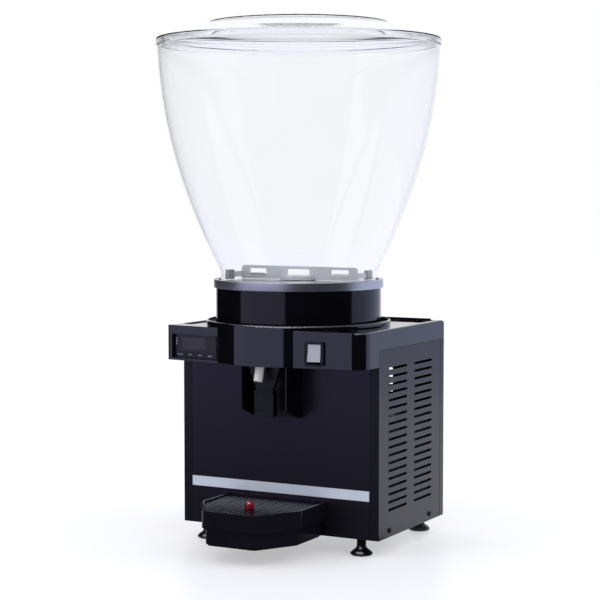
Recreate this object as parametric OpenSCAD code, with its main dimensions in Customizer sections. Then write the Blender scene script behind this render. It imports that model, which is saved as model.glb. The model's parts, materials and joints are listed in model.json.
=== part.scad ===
// Countertop cold drink dispenser: a clear bowl on a cooled stainless pan, above a black cabinet
// that holds the compressor, condenser, fan and mixer motor. Millimetres, +Z up, the front faces -Y.
// The origin is on the table, under the middle of the machine's bounding box.

/* [Cabinet] */
// Width of the cabinet over its side panels
cabinet_w = 290; // [280:1:330]
// Depth of the cabinet, front panel to rear panel
cabinet_d = 204; // [200:1:240]
// Height of the cabinet from its underside to the seam under the top cover
cabinet_h = 242.8; // [240:0.1:290]
// Height of the cabinet's underside above the table
foot_h = 22; // [19:1:36]
// Thickness of the painted steel sheet
sheet_t = 1.2; // [0.8:0.1:1.6]
// Width of the side panel's fold on the front of the cabinet
front_wrap = 12.6; // [8:0.1:13]
// Width of the rear panel's fold on the side of the cabinet
rear_wrap = 12; // [6:0.1:14]
// Height of the side folds of the base plate
base_fold_h = 16; // [14:1:20]
// Thickness of the base plate
base_t = 1.5; // [1.2:0.1:2]
// Open seam between neighbouring panels
seam_gap = 0.3; // [0.2:0.05:0.5]

/* [Louvres] */
// Length of one louvre slot
louvre_l = 55; // [40:1:60]
// Height of one louvre slot
louvre_h = 3.2; // [2:0.1:5]
// Distance between one louvre slot and the next below it
louvre_pitch = 10.13; // [8:0.01:10.4]
// Number of louvre slots in a column
louvre_rows = 19; // [8:1:19]
// Distance from the seam down to the top louvre slot
louvre_drop = 25.3; // [20:0.1:30]
// Distance from the front panel to the first column of louvres
louvre_y = 29; // [24:1:32]
// Distance between the starts of the two columns of louvres
louvre_step = 79; // [66:1:82]

/* [Top cover] */
// Height of the top cover on the sides of the cabinet
cover_side_h = 25.2; // [20:0.1:30]
// Height of the cover's front apron
apron_h = 46; // [44:0.5:50]
// Depth of the shallow basin in the cover's top
basin_drop = 1.4; // [0.8:0.1:1.6]
// Width of the border round the basin
basin_border = 8.5; // [7:0.5:12]
// Wall of the moulded cover
cover_wall = 2.5; // [2:0.1:3]
// Radius that rounds the cover's upper edge
cover_edge_r = 3.5; // [2:0.1:3.8]
// Reach of the display bay's face ahead of the front panel, at the controller
display_reach = 46.5; // [44:0.5:50]
// Reach of the switch bay's face ahead of the front panel, at the switch
switch_reach = 53; // [51:0.5:55]
// Turn of the two bays' faces away from the belly, in degrees
bay_turn = 8; // [6:0.5:9]
// Corner radius of the switch bay, seen from above
switch_corner_r = 22; // [20:1:34]
// Radius of the round belly and of the lip above the cover
belly_r = 122; // [119:0.5:126]
// Height of the round lip above the cover
lip_h = 6.5; // [4:0.5:10]
// Distance from the front panel back to the axis of the bowl
bowl_setback = 55; // [53:1:60]

/* [Collar and pan] */
// Radius of the collar under the bowl
collar_r = 109.5; // [108.6:0.1:110]
// Wall of the collar
collar_wall = 2.5; // [2:0.1:3]
// Height of the collar above the cover
collar_h = 50; // [48:0.5:70]
// Radius of the stainless pan's outer skirt
pan_r = 111.6; // [111.2:0.1:113]
// Height of the pan's rim above the collar
pan_rim_h = 9.5; // [8:0.5:12]
// Thickness of the stainless sheet
pan_t = 1.2; // [0.8:0.1:1.4]
// Width of the groove that holds the bowl's foot
groove_w = 7; // [6.6:0.1:7.4]
// Height of the pin that centres the mixing paddle
pin_h = 3.2; // [2.4:0.1:3.4]
// Radius of the pin that centres the mixing paddle
pin_r = 3; // [2:0.1:4]

/* [Bowl and lid] */
// Radius of the bowl at its foot
bowl_foot_r = 103.6; // [103.4:0.1:104]
// Height of the bowl's straight foot
bowl_foot_h = 17; // [14:0.5:20]
// Radius of the bowl under its rim
bowl_top_r = 186; // [170:1:200]
// Height of the bowl from the foot to the rim
bowl_h = 319; // [260:1:380]
// Wall of the bowl
bowl_wall = 3; // [2.6:0.1:3.2]
// Height of the bowl's rim bead
bead_h = 6.3; // [5:0.1:9]
// Reach of the bead outside the wall
bead_reach = 1.4; // [1:0.1:4]
// Height of the lid's edge
lid_edge_h = 2; // [1.6:0.1:6]
// Wall of the lid
lid_wall = 2.4; // [2:0.1:3]
// Radius of the flat top of the lid
lid_top_r = 118; // [90:1:130]
// Height of the lid's sloped skirt
lid_slope_h = 20; // [10:0.5:26]
// Height of the step round the flat top
lid_step_h = 1.4; // [1:0.1:4]
// Depth of the lid's inner lip in the bowl
lid_lip_h = 6; // [4:0.5:9]

/* [Mixing paddle] */
// Length of the paddle plate
paddle_l = 174; // [150:1:174]
// Height of the paddle plate
paddle_h = 16; // [15:0.5:24]
// Thickness of the paddle plate
paddle_t = 2; // [1.5:0.1:3]
// Radius of the paddle's hub
hub_r = 24; // [20:0.5:26]
// Height of the paddle's hub
hub_h = 3.8; // [3.8:0.1:4.6]
// Length of each wiper arm
wiper_l = 44; // [30:1:44]
// Radius of the drive magnet under the pan
drive_r = 24; // [20:0.5:26]

/* [Tap] */
// Outer radius of the spout tube
spout_r = 5.7; // [5:0.1:7]
// Inner radius of the spout tube
spout_bore_r = 3.7; // [3:0.1:4]
// Height of the spout's mouth above the table
spout_z = 224; // [216:1:232]
// Reach of the spout's mouth ahead of the front panel
spout_reach = 54; // [52:0.5:55]
// Forward lean of the spout tube in degrees
spout_lean = 15.5; // [14:0.5:16.5]
// Outer width of the tap housing
housing_w = 68; // [64:1:74]
// Wall of the tap housing
housing_wall = 2.5; // [2:0.1:3]
// Reach of the tap housing ahead of the front panel
housing_reach = 40; // [39:0.5:41]
// Width of the lever's push pad
pad_w = 28; // [24:1:32]
// Height of the lever's push pad
pad_h = 33.5; // [28:0.5:36]
// Thickness of the lever
lever_t = 3; // [2.5:0.1:3.4]
// Radius of the lever's pivot pin
pivot_r = 2.5; // [2:0.1:3]
// Running clearance of the pins and shafts
run_gap = 0.06; // [0.03:0.01:0.09]

/* [Controller and switch] */
// Width of the controller's face
display_w = 70; // [68:0.5:71]
// Height of the controller's face
display_h = 31; // [29:0.5:31.5]
// Depth of the controller's face in the display bay
display_recess = 4.5; // [2:0.5:6]
// Thickness of a controller key
key_t = 1.4; // [1:0.1:2]
// Width of a controller key
key_w = 15.4; // [12:0.1:15.8]
// Height of a controller key
key_h = 6.4; // [4:0.1:6.8]
// Distance between the middles of two keys
key_pitch = 16.8; // [16.5:0.1:17]
// Width of the switch bezel
switch_w = 25.4; // [24:0.1:28]
// Height of the switch bezel
switch_h = 30.4; // [29:0.1:32]
// Thickness of the switch bezel
bezel_t = 4; // [2:0.5:5]
// Width of the rocker
rocker_w = 17; // [15:0.1:17.6]
// Height of the rocker
rocker_h = 22; // [20:0.5:22.4]
// Tilt of the rocker each way in degrees
rocker_tilt = 9; // [6:0.5:9]

/* [Drip tray] */
// Width of the drip tray
tray_w = 144; // [136:1:150]
// Reach of the drip tray ahead of the front panel
tray_reach = 130; // [124:1:140]
// Height of the tray's rim above the table
tray_top = 67; // [64:0.5:69]
// Height of the visible step between tray and holder above the table
tray_step = 44; // [42:0.5:46]
// Width of the tray's flat front edge
tray_front_w = 76; // [64:1:84]
// Wall of the drip tray
tray_wall = 2.2; // [1.8:0.1:2.6]
// Inset of the holder under the tray
holder_inset = 5; // [3:0.5:6]
// Pitch of the holes in the grille
grille_pitch = 7.6; // [7:0.1:9]
// Radius of the round holes in the grille
grille_hole_r = 2.2; // [1.5:0.1:2.6]
// Radius of the float's stem
float_r = 6.4; // [5:0.1:7]
// Distance from the front panel to the float
float_y = 76; // [70:1:84]

/* [Feet] */
// Distance from the cabinet's side to the middle of a foot
foot_inset_x = 30.2; // [24:0.1:36]
// Distance from the cabinet's front or rear to the middle of a foot
foot_inset_y = 12.2; // [11:0.1:13]
// Radius of a foot's disc
foot_r = 14; // [12:0.5:15]
// Radius of a foot's threaded stud
stud_r = 4; // [3:0.1:4.5]

/* [Label strip] */
// Height of the label strip above the cabinet's underside
label_z = 49.85; // [49:0.1:60]
// Height of the label strip
label_h = 13.15; // [8:0.1:16]
// Thickness of the label strip
label_t = 0.6; // [0.4:0.1:0.7]

/* [Machinery] */
// Radius of the compressor's shell
compressor_r = 56; // [50:1:58]
// Height of the compressor's shell
compressor_h = 118; // [100:1:124]
// Distance from the rear panel forward to the compressor's axis
compressor_y = 72; // [66:1:78]
// Distance from the cabinet's left side to the compressor's axis
compressor_x = 75; // [69:1:81]
// Height of the rubber grommets under the compressor
grommet_h = 14; // [10:1:18]
// Radius of the mixer's gearbox
gearbox_r = 38; // [34:1:42]
// Height of the mixer's gearbox
gearbox_h = 40; // [34:1:44]
// Radius of the mixer's motor
motor_r = 30; // [26:1:34]
// Height of the mixer's motor
motor_h = 52; // [40:1:56]
// Thickness of the condenser through its fins
condenser_t = 28; // [26:1:30]
// Width of the condenser along the cabinet's side
condenser_w = 132; // [120:1:136]
// Height of the condenser
condenser_h = 128; // [110:1:136]
// Number of fins on the condenser
fin_count = 20; // [10:1:22]
// Radius of the condenser's tube
tube_r = 4; // [3:0.1:4.4]
// Radius of the fan's blades
fan_r = 46; // [40:1:50]
// Number of fan blades
blade_count = 5; // [3:1:7]
// Number of turns of the cooling coil
coil_turns = 3; // [2:1:3]
// Distance between two turns of the cooling coil
coil_pitch = 9.6; // [9.2:0.1:9.8]

/* [Hidden] */
$fn = 64;

// Clearance between pieces that move past each other
move_gap = 0.3;
// Overlap that joins two solids of one piece
weld = 0.01;
// Reach of a cutting shape past the face that it cuts
cut = 1;

// Heights, stacked from the table upwards
seam_z = foot_h + cabinet_h;
cover_top = seam_z + cover_side_h;
apron_z = cover_top - apron_h;
basin_z = cover_top - basin_drop;
cover_under = basin_z - cover_wall;
lip_top = cover_top + lip_h;
collar_z = cover_top + 0.8;
collar_top = cover_top + collar_h;
pan_rim_z = collar_top + pan_rim_h;
pan_floor_z = pan_rim_z + 0.5;
pan_under = pan_floor_z - pan_t;
seal_t = 1.4;
seal_top = collar_top + pan_t + seal_t;
bowl_z = seal_top + move_gap;
bowl_top = bowl_z + bowl_h;
bead_z = bowl_top - bead_h;
lid_z = bowl_top + move_gap;
lid_shoulder_z = lid_z + lid_edge_h;
lid_plateau_z = lid_shoulder_z + lid_slope_h;
lid_top_z = lid_plateau_z + lid_step_h;
paddle_z = pan_floor_z + 0.6;

// Radii of the pan's groove and of what seats in it
groove_out = pan_r - 4;
groove_in = groove_out - pan_t - groove_w;
lid_r = bowl_top_r + bead_reach - 0.6;

// Plan: the front panel's face lies at front_y, and the bowl's axis at axis_y
half_w = cabinet_w / 2;
lug_reach = bowl_top_r + bead_reach + 0.8;
front_reach = max(tray_reach, lug_reach - bowl_setback);
rear_reach = max(cabinet_d, lug_reach + bowl_setback);
front_y = (front_reach - rear_reach) / 2;
axis_y = front_y + bowl_setback;

module from_front() {
    translate([0, front_y, 0]) children();
}

module on_axis() {
    translate([0, axis_y, 0]) children();
}

// A box between two corners
module block(low, high) {
    translate(low) cube(high - low);
}

// A ring or tube standing on z
module tube(outer, inner, z, h) {
    translate([0, 0, z]) difference() {
        cylinder(r = outer, h = h);
        translate([0, 0, -cut]) cylinder(r = inner, h = h + 2 * cut);
    }
}

// A cylinder along X from x
module bar_x(r, x, l, facets = 0) {
    translate([x, 0, 0]) rotate([0, 90, 0]) cylinder(r = r, h = l, $fn = facets > 0 ? facets : $fn);
}

// A cylinder along +Y from y
module bar_y(r, y, l) {
    translate([0, y, 0]) rotate([-90, 0, 0]) cylinder(r = r, h = l);
}

// A slot with round ends through a sheet, long along X and drawn in plan
module slot_2d(l, h) {
    square([l - h, h], center = true);
    for (side = [-1, 1]) {
        translate([side * (l - h) / 2, 0]) circle(d = h, $fn = 32);
    }
}

// A rectangle with round corners, drawn about its middle
module soft_rect(w, h, r) {
    square([w - 2 * r, h], center = true);
    square([w, h - 2 * r], center = true);
    for (sx = [-1, 1], sy = [-1, 1]) {
        translate([sx * (w / 2 - r), sy * (h / 2 - r)]) circle(r = r, $fn = 32);
    }
}

// A pipe of round section through a list of points, each bend a ball a little wider than the pipe
module pipe(points, r) {
    bend_r = r * 1.04;
    for (i = [0 : len(points) - 2]) {
        run = points[i + 1] - points[i];
        l = norm(run);
        turn = atan2(run[1], run[0]);
        tip = acos(run[2] / l);
        translate(points[i]) rotate([0, tip, turn]) cylinder(r = r, h = l, $fn = 24);
    }
    for (i = [1 : 1 : len(points) - 2]) {
        translate(points[i]) sphere(r = bend_r, $fn = 24);
    }
}

function unit(v) = v / norm(v);

// A convex corner moved inwards by a distance, between its two neighbours
function inset_corner(a, b, c, inset) = let(
    u = unit(b - a), v = unit(c - b), n = [-u[1], u[0]], m = [-v[1], v[0]])
    b + inset * (n + m) / (1 + n * m);

// Points of the arc that rounds a convex corner
function corner_arc(a, b, c, r, steps) = let(
    u = unit(a - b), v = unit(c - b), half = acos(u * v) / 2,
    centre = b + unit(u + v) * r / sin(half), start = b + u * r / tan(half) - centre,
    sweep = 180 - 2 * half)
    [for (i = [0 : steps]) let(t = sweep * i / steps)
        centre + [start[0] * cos(t) - start[1] * sin(t), start[0] * sin(t) + start[1] * cos(t)]];

// Feet and base

foot_places = [for (sy = [foot_inset_y, cabinet_d - foot_inset_y], sx = [-1, 1])
    [sx * (half_w - foot_inset_x), sy, 0]];
stud_hole_r = stud_r + 0.4;
nut_h = 6.5;
stud_top = foot_h + base_t + nut_h + 4;

module foot(place) {
    from_front() translate(place) {
        rotate_extrude() polygon([[0, 0], [foot_r - 1, 0], [foot_r, 1.2], [foot_r, 3.4],
            [foot_r - 2.2, 5.8], [foot_r - 6, 8.4], [6.4, 11], [6, 13],
            [6, foot_h - move_gap], [0, foot_h - move_gap]]);
        cylinder(r = stud_r, h = stud_top);
    }
}

module foot_front_left() { color("#111114") foot(foot_places[0]); }
module foot_front_right() { color("#111114") foot(foot_places[1]); }
module foot_rear_left() { color("#111114") foot(foot_places[2]); }
module foot_rear_right() { color("#111114") foot(foot_places[3]); }

// The nuts hold the feet's studs and seat on the base plate
module foot_nuts() {
    color("silver") from_front() for (place = foot_places) {
        translate([place[0], place[1], foot_h + base_t]) difference() {
            cylinder(r = stud_r * 1.85, h = nut_h, $fn = 6);
            translate([0, 0, -cut]) cylinder(r = stud_r + run_gap, h = nut_h + 2 * cut);
        }
    }
}

side_screw_z = 8.6;
side_screw_ys = [32.4, 157.6];
screw_r = 2;
screw_head_r = 3.8;
base_half = half_w - sheet_t;

module base_plate() {
    color("#8f9296") from_front() difference() {
        union() {
            block([-base_half, sheet_t, foot_h], [base_half, cabinet_d - sheet_t, foot_h + base_t]);
            for (side = [-1, 1]) {
                x = side * (base_half - base_t / 2);
                block([x - base_t / 2, sheet_t, foot_h],
                    [x + base_t / 2, cabinet_d - sheet_t - 3, foot_h + base_fold_h]);
                block([side * rear_screw_dx - 7, cabinet_d - sheet_t - base_t, foot_h],
                    [side * rear_screw_dx + 7, cabinet_d - sheet_t, foot_h + base_fold_h + 6]);
            }
        }
        rear_screw_holes();
        for (place = foot_places) {
            translate([place[0], place[1], foot_h - cut]) cylinder(r = stud_hole_r, h = base_t + 2 * cut);
        }
        side_screw_holes();
    }
}

module side_screw_holes() {
    for (y = side_screw_ys) {
        translate([0, y, foot_h + side_screw_z]) bar_x(screw_r + 0.15, -half_w - cut, cabinet_w + 2 * cut);
    }
}

module rear_screw_holes() {
    for (sx = [-1, 1], z = rear_screw_zs) {
        translate([sx * rear_screw_dx, 0, z])
            bar_y(screw_r + 0.15, cabinet_d - 4 * sheet_t - cut, 4 * sheet_t + 2 * cut);
    }
}

// Panels

rear_seam_y = cabinet_d - rear_wrap;
front_half = half_w - front_wrap - seam_gap;
panel_top = seam_z - seam_gap;
front_fold = 10;

module louvre_slots() {
    for (column = [0, 1], row = [0 : louvre_rows - 1]) {
        y = louvre_y + column * louvre_step + louvre_l / 2;
        z = seam_z - louvre_drop - row * louvre_pitch;
        translate([half_w + cut, y, z]) rotate([90, 0, -90])
            linear_extrude(sheet_t + 2 * cut) slot_2d(louvre_l, louvre_h);
    }
}

// The right-hand panel, mirrored for the left
module side_panel() {
    difference() {
        union() {
            block([half_w - sheet_t, 0, foot_h], [half_w, rear_seam_y - seam_gap, panel_top]);
            block([half_w - front_wrap, 0, foot_h], [half_w, sheet_t, panel_top]);
            rear_flange();
        }
        louvre_slots();
        side_screw_holes();
        rear_screw_holes();
    }
}

// The side panel steps inwards behind the rear panel's fold and takes its upper screws
module rear_flange() {
    low = foot_h + base_fold_h + 8;
    high = panel_top - 4;
    inner = half_w - sheet_t;
    block([inner - sheet_t, rear_seam_y - 8, low], [inner + weld, rear_seam_y - seam_gap, high]);
    block([inner - sheet_t, rear_seam_y - 8, low], [inner, cabinet_d - sheet_t, high]);
    block([rear_screw_dx - 7, cabinet_d - 2 * sheet_t, low], [inner, cabinet_d - sheet_t, high]);
}

module side_panel_right() { color("#2a2a33") from_front() side_panel(); }
module side_panel_left() { color("#2a2a33") from_front() mirror([1, 0, 0]) side_panel(); }

module front_panel() {
    color("#15151c") from_front() difference() {
        union() {
            block([-front_half, 0, foot_h], [front_half, sheet_t, panel_top]);
            for (side = [-1, 1]) {
                x = side * (front_half - sheet_t / 2);
                block([x - sheet_t / 2, 0, foot_h + base_t + base_fold_h],
                    [x + sheet_t / 2, front_fold, panel_top]);
            }
        }
        for (place = concat(housing_screws, holder_screws)) {
            translate(place) bar_y(screw_r + 0.15, -cut, sheet_t + 2 * cut);
        }
    }
}

inlet_x = -110;
inlet_z = foot_h + 38;
inlet_w = 27;
inlet_h = 20;
rear_slot_l = 60;
rear_slot_rows = 12;
rear_screw_dx = half_w - 12;

module rear_panel() {
    color("#1b1b22") from_front() difference() {
        union() {
            block([-half_w, cabinet_d - sheet_t, foot_h], [half_w, cabinet_d, panel_top]);
            for (side = [-1, 1]) {
                x = side * (half_w - sheet_t / 2);
                block([x - sheet_t / 2, rear_seam_y, foot_h], [x + sheet_t / 2, cabinet_d, panel_top]);
            }
        }
        for (column = [-1, 1], row = [0 : rear_slot_rows - 1]) {
            translate([column * rear_slot_l * 0.65, cabinet_d + cut,
                seam_z - louvre_drop - 20 - row * louvre_pitch]) rotate([90, 0, 0])
                linear_extrude(sheet_t + 2 * cut) slot_2d(rear_slot_l, louvre_h);
        }
        block([inlet_x - inlet_w / 2, cabinet_d - sheet_t - cut, inlet_z - inlet_h / 2],
            [inlet_x + inlet_w / 2, cabinet_d + cut, inlet_z + inlet_h / 2]);
        rear_screw_holes();
    }
}

rear_screw_zs = [foot_h + 14, seam_z - 12];

// A pan head screw along +Z, its head's seat at z = 0 and its shank below
module screw(l) {
    rotate_extrude() polygon([[0, -l], [screw_r, -l], [screw_r, 0], [screw_head_r, 0],
        [screw_head_r, 0.7], [screw_head_r - 0.8, 1.6], [0, 2]]);
}

module cabinet_screws() {
    color("#3c3c44") from_front() {
        for (side = [-1, 1], y = side_screw_ys) {
            translate([side * half_w, y, foot_h + side_screw_z]) rotate([0, side * 90, 0]) screw(8);
        }
        for (sx = [-1, 1], z = rear_screw_zs) {
            translate([sx * rear_screw_dx, cabinet_d, z]) rotate([-90, 0, 0]) screw(7);
        }
        for (place = housing_screws) {
            translate([place[0], -housing_wall, place[2]]) rotate([90, 0, 0]) screw(9);
        }
        for (place = holder_screws) {
            translate([place[0], -holder_wall, place[2]]) rotate([90, 0, 0]) screw(9);
        }
    }
}

module label_strip() {
    color("#b9bdc8") from_front()
        block([-front_half + 0.6, -label_t, foot_h + label_z], [front_half - 0.6, 0, foot_h + label_z + label_h]);
}

// Top cover

bay_back = 30;
basin_front = -20;
basin_corner_r = 10;
rear_edge_r = 6;
lip_edge_r = 2.5;
display_corner_r = cover_edge_r;
display_inner_x = 61;
switch_inner_x = 52.5;

// Where a bay's face is ahead of the front panel, at a distance from the middle of the machine
function bay_y(reach, mid_x, x) = -reach + (x - mid_x) * tan(bay_turn);

// The right-hand bay's outline: a turned face, a round corner and a side that ends at back_y
function bay_points(reach, mid_x, inner_x, corner_r, steps, inset, back_y) = let(
    x = half_w - inset,
    shift = inset / cos(bay_turn),
    start = [inner_x, bay_y(reach, mid_x, inner_x) + shift],
    corner = [x, bay_y(reach, mid_x, x) + shift],
    end = [x, back_y])
    concat([start], corner_arc(start, corner, end, max(corner_r - inset, 1.5), steps), [end]);

// The arguments of the two bays' outlines; the display bay is drawn mirrored
function switch_bay(inset, back_y) =
    bay_points(switch_reach, switch_x, switch_inner_x, switch_corner_r, 20, inset, back_y);
function display_bay(inset, back_y) =
    bay_points(display_reach, -display_x, display_inner_x, display_corner_r, 6, inset, back_y);

module front_plan(inset) {
    polygon(concat(switch_bay(inset, bay_back), [[switch_inner_x, bay_back]]));
    mirror([1, 0]) polygon(concat(display_bay(inset, bay_back), [[display_inner_x, bay_back]]));
    translate([0, bowl_setback]) circle(r = belly_r - inset, $fn = 128);
}

// The cover's outside, or its inside a wall's thickness in: the apron and the band on the cabinet
module cover_form(inset, low, band_low, high) {
    translate([0, 0, low]) linear_extrude(band_low - low) difference() {
        front_plan(inset);
        translate([-half_w - cut, -seam_gap]) square([cabinet_w + 2 * cut, cabinet_d]);
    }
    translate([0, 0, band_low]) linear_extrude(high - band_low) {
        front_plan(inset);
        translate([-half_w + inset, inset]) square([cabinet_w - 2 * inset, cabinet_d - 2 * inset]);
    }
}

// What rounds an edge: the corner of the square outside the circle, the edge at the origin
module edge_waste(r) {
    difference() {
        translate([-cut, -r]) square([r + cut, r + cut]);
        translate([r, -r]) circle(r = r);
    }
}

// The same along X
module edge_bar(l, r) {
    rotate([90, 0, 90]) linear_extrude(l) edge_waste(r);
}

// Rounds the upper edge along an outline that keeps its inside on the left
module outline_edge(points) {
    e = cover_edge_r;
    for (i = [0 : len(points) - 2]) {
        run = points[i + 1] - points[i];
        before = i == 0 ? -e * sin(bay_turn) : cut;
        translate([points[i][0], points[i][1], cover_top]) rotate([0, 0, atan2(run[1], run[0])])
            translate([-before, 0, 0]) edge_bar(norm(run) + before + cut, e);
    }
}

outlet_y = -spout_reach + (pan_under - spout_z) * tan(spout_lean);
shaft_hole_r = hub_r + 4;
tongue_h = 8;

module basin() {
    depth = cabinet_d - basin_border - basin_front;
    difference() {
        translate([0, basin_front + depth / 2, basin_z]) linear_extrude(basin_drop + cut)
            soft_rect(cabinet_w - 2 * basin_border, depth, basin_corner_r);
        translate([0, bowl_setback, basin_z - cut]) cylinder(r = belly_r, h = lip_h + 3 * cut, $fn = 128);
    }
}

// The solid cover with its rounded edges and the lip round the collar
module cover_body() {
    difference() {
        cover_form(0, apron_z, seam_z, cover_top);
        outline_edge(switch_bay(0, cabinet_d));
        mirror([1, 0, 0]) outline_edge(display_bay(0, cabinet_d));
        translate([half_w + cut, cabinet_d, cover_top]) rotate([0, 0, 180])
            edge_bar(cabinet_w + 2 * cut, rear_edge_r);
        basin();
    }
    lip_r = belly_r - lip_edge_r;
    translate([0, bowl_setback, 0]) {
        translate([0, 0, cover_top]) cylinder(r = belly_r, h = lip_h - lip_edge_r, $fn = 128);
        cylinder_between(lip_r, cover_top, lip_top);
        rotate_extrude($fn = 128) translate([lip_r, lip_top - lip_edge_r]) circle(r = lip_edge_r);
    }
}

module top_cover() {
    color("#17171b") from_front() {
        difference() {
            union() {
                difference() {
                    cover_body();
                    cover_form(cover_wall, apron_z - cut, seam_z - cut, cover_under);
                }
                at_display() block([-opening_w / 2 - well_t, cover_wall - weld, -opening_h / 2 - well_t],
                    [opening_w / 2 + well_t, well_depth, opening_h / 2 + well_t]);
            }
            translate([0, bowl_setback, cover_under - cut])
                cylinder(r = shaft_hole_r, h = lip_h + 2 * cover_wall);
            for (x = coil_leg_xs) {
                translate([x, bowl_setback, cover_under - cut]) cylinder(r = coil_r + 0.2, h = lip_h + 2 * cover_wall);
            }
            translate([0, bowl_setback, collar_z])
                cylinder(r = belly_r - cover_wall, h = lip_h + cut, $fn = 128);
            spout_line() cylinder(r = spout_r + 0.2, h = spout_l);
            at_display() block([-opening_w / 2, -cut, -opening_h / 2],
                [opening_w / 2, well_depth + cut, opening_h / 2]);
            at_switch() block([-switch_w / 2 + 1.5, -cut, -switch_h / 2 + 1.5],
                [switch_w / 2 - 1.5, cover_wall + 4 * cut, switch_h / 2 - 1.5]);
        }
        rear_ridge_w = cabinet_w - 4 * basin_border;
        block([-rear_ridge_w / 2, cabinet_d - basin_border, basin_z],
            [rear_ridge_w / 2, cabinet_d - basin_border + 3, cover_top + 1.8]);
        for (side = [-1, 1]) {
            x = side * (half_w - sheet_t - cover_wall / 2);
            block([x - cover_wall / 2, basin_border * 2, seam_z - tongue_h],
                [x + cover_wall / 2, rear_seam_y - 3 * cover_wall - 8, seam_z + cover_wall]);
        }
    }
}

// Collar, pan and what is under the pan

module collar() {
    color("#0e0e11") on_axis() tube(collar_r, collar_r - collar_wall, collar_z, collar_top - collar_z);
}

module evaporator_pan() {
    color("#c9ccd2") on_axis() difference() {
        union() {
            rotate_extrude($fn = 128) polygon([[0, pan_under], [groove_in - pan_t, pan_under],
                [groove_in - pan_t, collar_top], [groove_out, collar_top],
                [groove_out, pan_rim_z - pan_t], [pan_r - pan_t, pan_rim_z - pan_t],
                [pan_r - pan_t, collar_top - 1], [pan_r, collar_top - 1], [pan_r, pan_rim_z],
                [groove_out - pan_t, pan_rim_z], [groove_out - pan_t, collar_top + pan_t],
                [groove_in, collar_top + pan_t], [groove_in, pan_floor_z], [0, pan_floor_z]]);
            cylinder_between(pin_r, pan_under, pan_floor_z + pin_h);
        }
        translate([0, outlet_y - bowl_setback, pan_under - cut]) cylinder(r = spout_bore_r, h = pan_t + 2 * cut);
    }
}

module cylinder_between(r, low, high) {
    translate([0, 0, low]) cylinder(r = r, h = high - low);
}

module bowl_seal() {
    color("#d9d9d6") on_axis() {
        tube(groove_out - pan_t - 0.3, groove_in + 0.3, collar_top + pan_t, seal_t);
        tube(groove_out - pan_t - 0.3, groove_out - pan_t - 1.6, collar_top + pan_t, seal_t + 3.4);
    }
}

coil_r = 3.6;
coil_start_r = gearbox_r + 1;
coil_z = pan_under - coil_r;
coil_end_r = coil_start_r + coil_turns * coil_pitch;

// A flat spiral of half turns, each about a centre half a pitch from the last
module cooling_coil() {
    color("#b87333") on_axis() {
        for (i = [0 : 2 * coil_turns - 1]) {
            half_r = coil_start_r + coil_pitch / 4 + i * coil_pitch / 2;
            translate([(i % 2 == 0 ? 1 : -1) * coil_pitch / 4, 0, coil_z])
                rotate([0, 0, i % 2 == 0 ? 0 : 180])
                rotate_extrude(angle = 180) translate([half_r, 0]) circle(r = coil_r, $fn = 24);
        }
        for (x = coil_leg_xs) {
            translate([x, 0, coil_z]) sphere(r = coil_r, $fn = 24);
            translate([x, 0, coil_leg_z]) cylinder(r = coil_r, h = coil_z - coil_leg_z, $fn = 24);
        }
    }
}

// The spiral starts and ends on the +X side
coil_leg_xs = [coil_start_r + coil_pitch / 2, coil_end_r - coil_pitch / 2];
coil_leg_z = cover_under - 30;
insulation_top = coil_z - coil_r - 0.2;

module insulation() {
    hole_h = insulation_top - collar_z + 2 * cut;
    color("#e8e2c8") on_axis() difference() {
        union() {
            cylinder_between(collar_r - collar_wall, collar_z, collar_top);
            cylinder_between(groove_in - pan_t, collar_top - weld, insulation_top);
        }
        translate([0, 0, collar_z - cut]) cylinder(r = shaft_hole_r, h = hole_h);
        for (x = coil_leg_xs) {
            translate([x, 0, collar_z - cut]) cylinder(r = coil_r + 0.2, h = hole_h);
        }
        translate([0, -bowl_setback, 0]) spout_line() cylinder(r = spout_r + 0.2, h = spout_l + collar_h);
    }
}

// Bowl and lid

function bezier(a, b, c, d, t) =
    pow(1 - t, 3) * a + 3 * t * pow(1 - t, 2) * b + 3 * t * t * (1 - t) * c + pow(t, 3) * d;

bowl_steps = 22;
foot_slope = 0.52;
top_slope = 0.12;

// The wall of the bowl, from the top of its foot to the bead, a distance inside its outer face
function bowl_wall_line(inside) = let(
    low = [bowl_foot_r - inside, bowl_z + bowl_foot_h + inside * foot_slope / 2],
    high = [bowl_top_r - inside, bead_z],
    rise = high[1] - low[1],
    low_handle = low + rise * 0.525 * [foot_slope, 1],
    high_handle = high - rise * 0.0965 * [top_slope, 1])
    [for (i = [0 : bowl_steps]) bezier(low, low_handle, high_handle, high, i / bowl_steps)];

function reversed(list) = [for (i = [len(list) - 1 : -1 : 0]) list[i]];

lug_count = 8;
lug_turn = 3;
lug_w = 5.5;

module bowl() {
    color([0.86, 0.9, 0.95, 0.35]) on_axis() {
        rotate_extrude($fn = 128) polygon(concat(
            [[bowl_foot_r - bowl_wall, bowl_z], [bowl_foot_r, bowl_z]],
            bowl_wall_line(0),
            [[bowl_top_r + bead_reach, bead_z + 0.6], [bowl_top_r + bead_reach, bowl_top - 1],
                [bowl_top_r + bead_reach - 1, bowl_top], [bowl_top_r - bowl_wall, bowl_top]],
            reversed(bowl_wall_line(bowl_wall))));
        for (i = [0 : lug_count - 1]) {
            rotate([0, 0, -90 + lug_turn + i * 360 / lug_count])
                block([bowl_top_r, -lug_w / 2, bowl_top - 4], [lug_reach, lug_w / 2, bowl_top - 1.6]);
        }
    }
}

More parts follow.
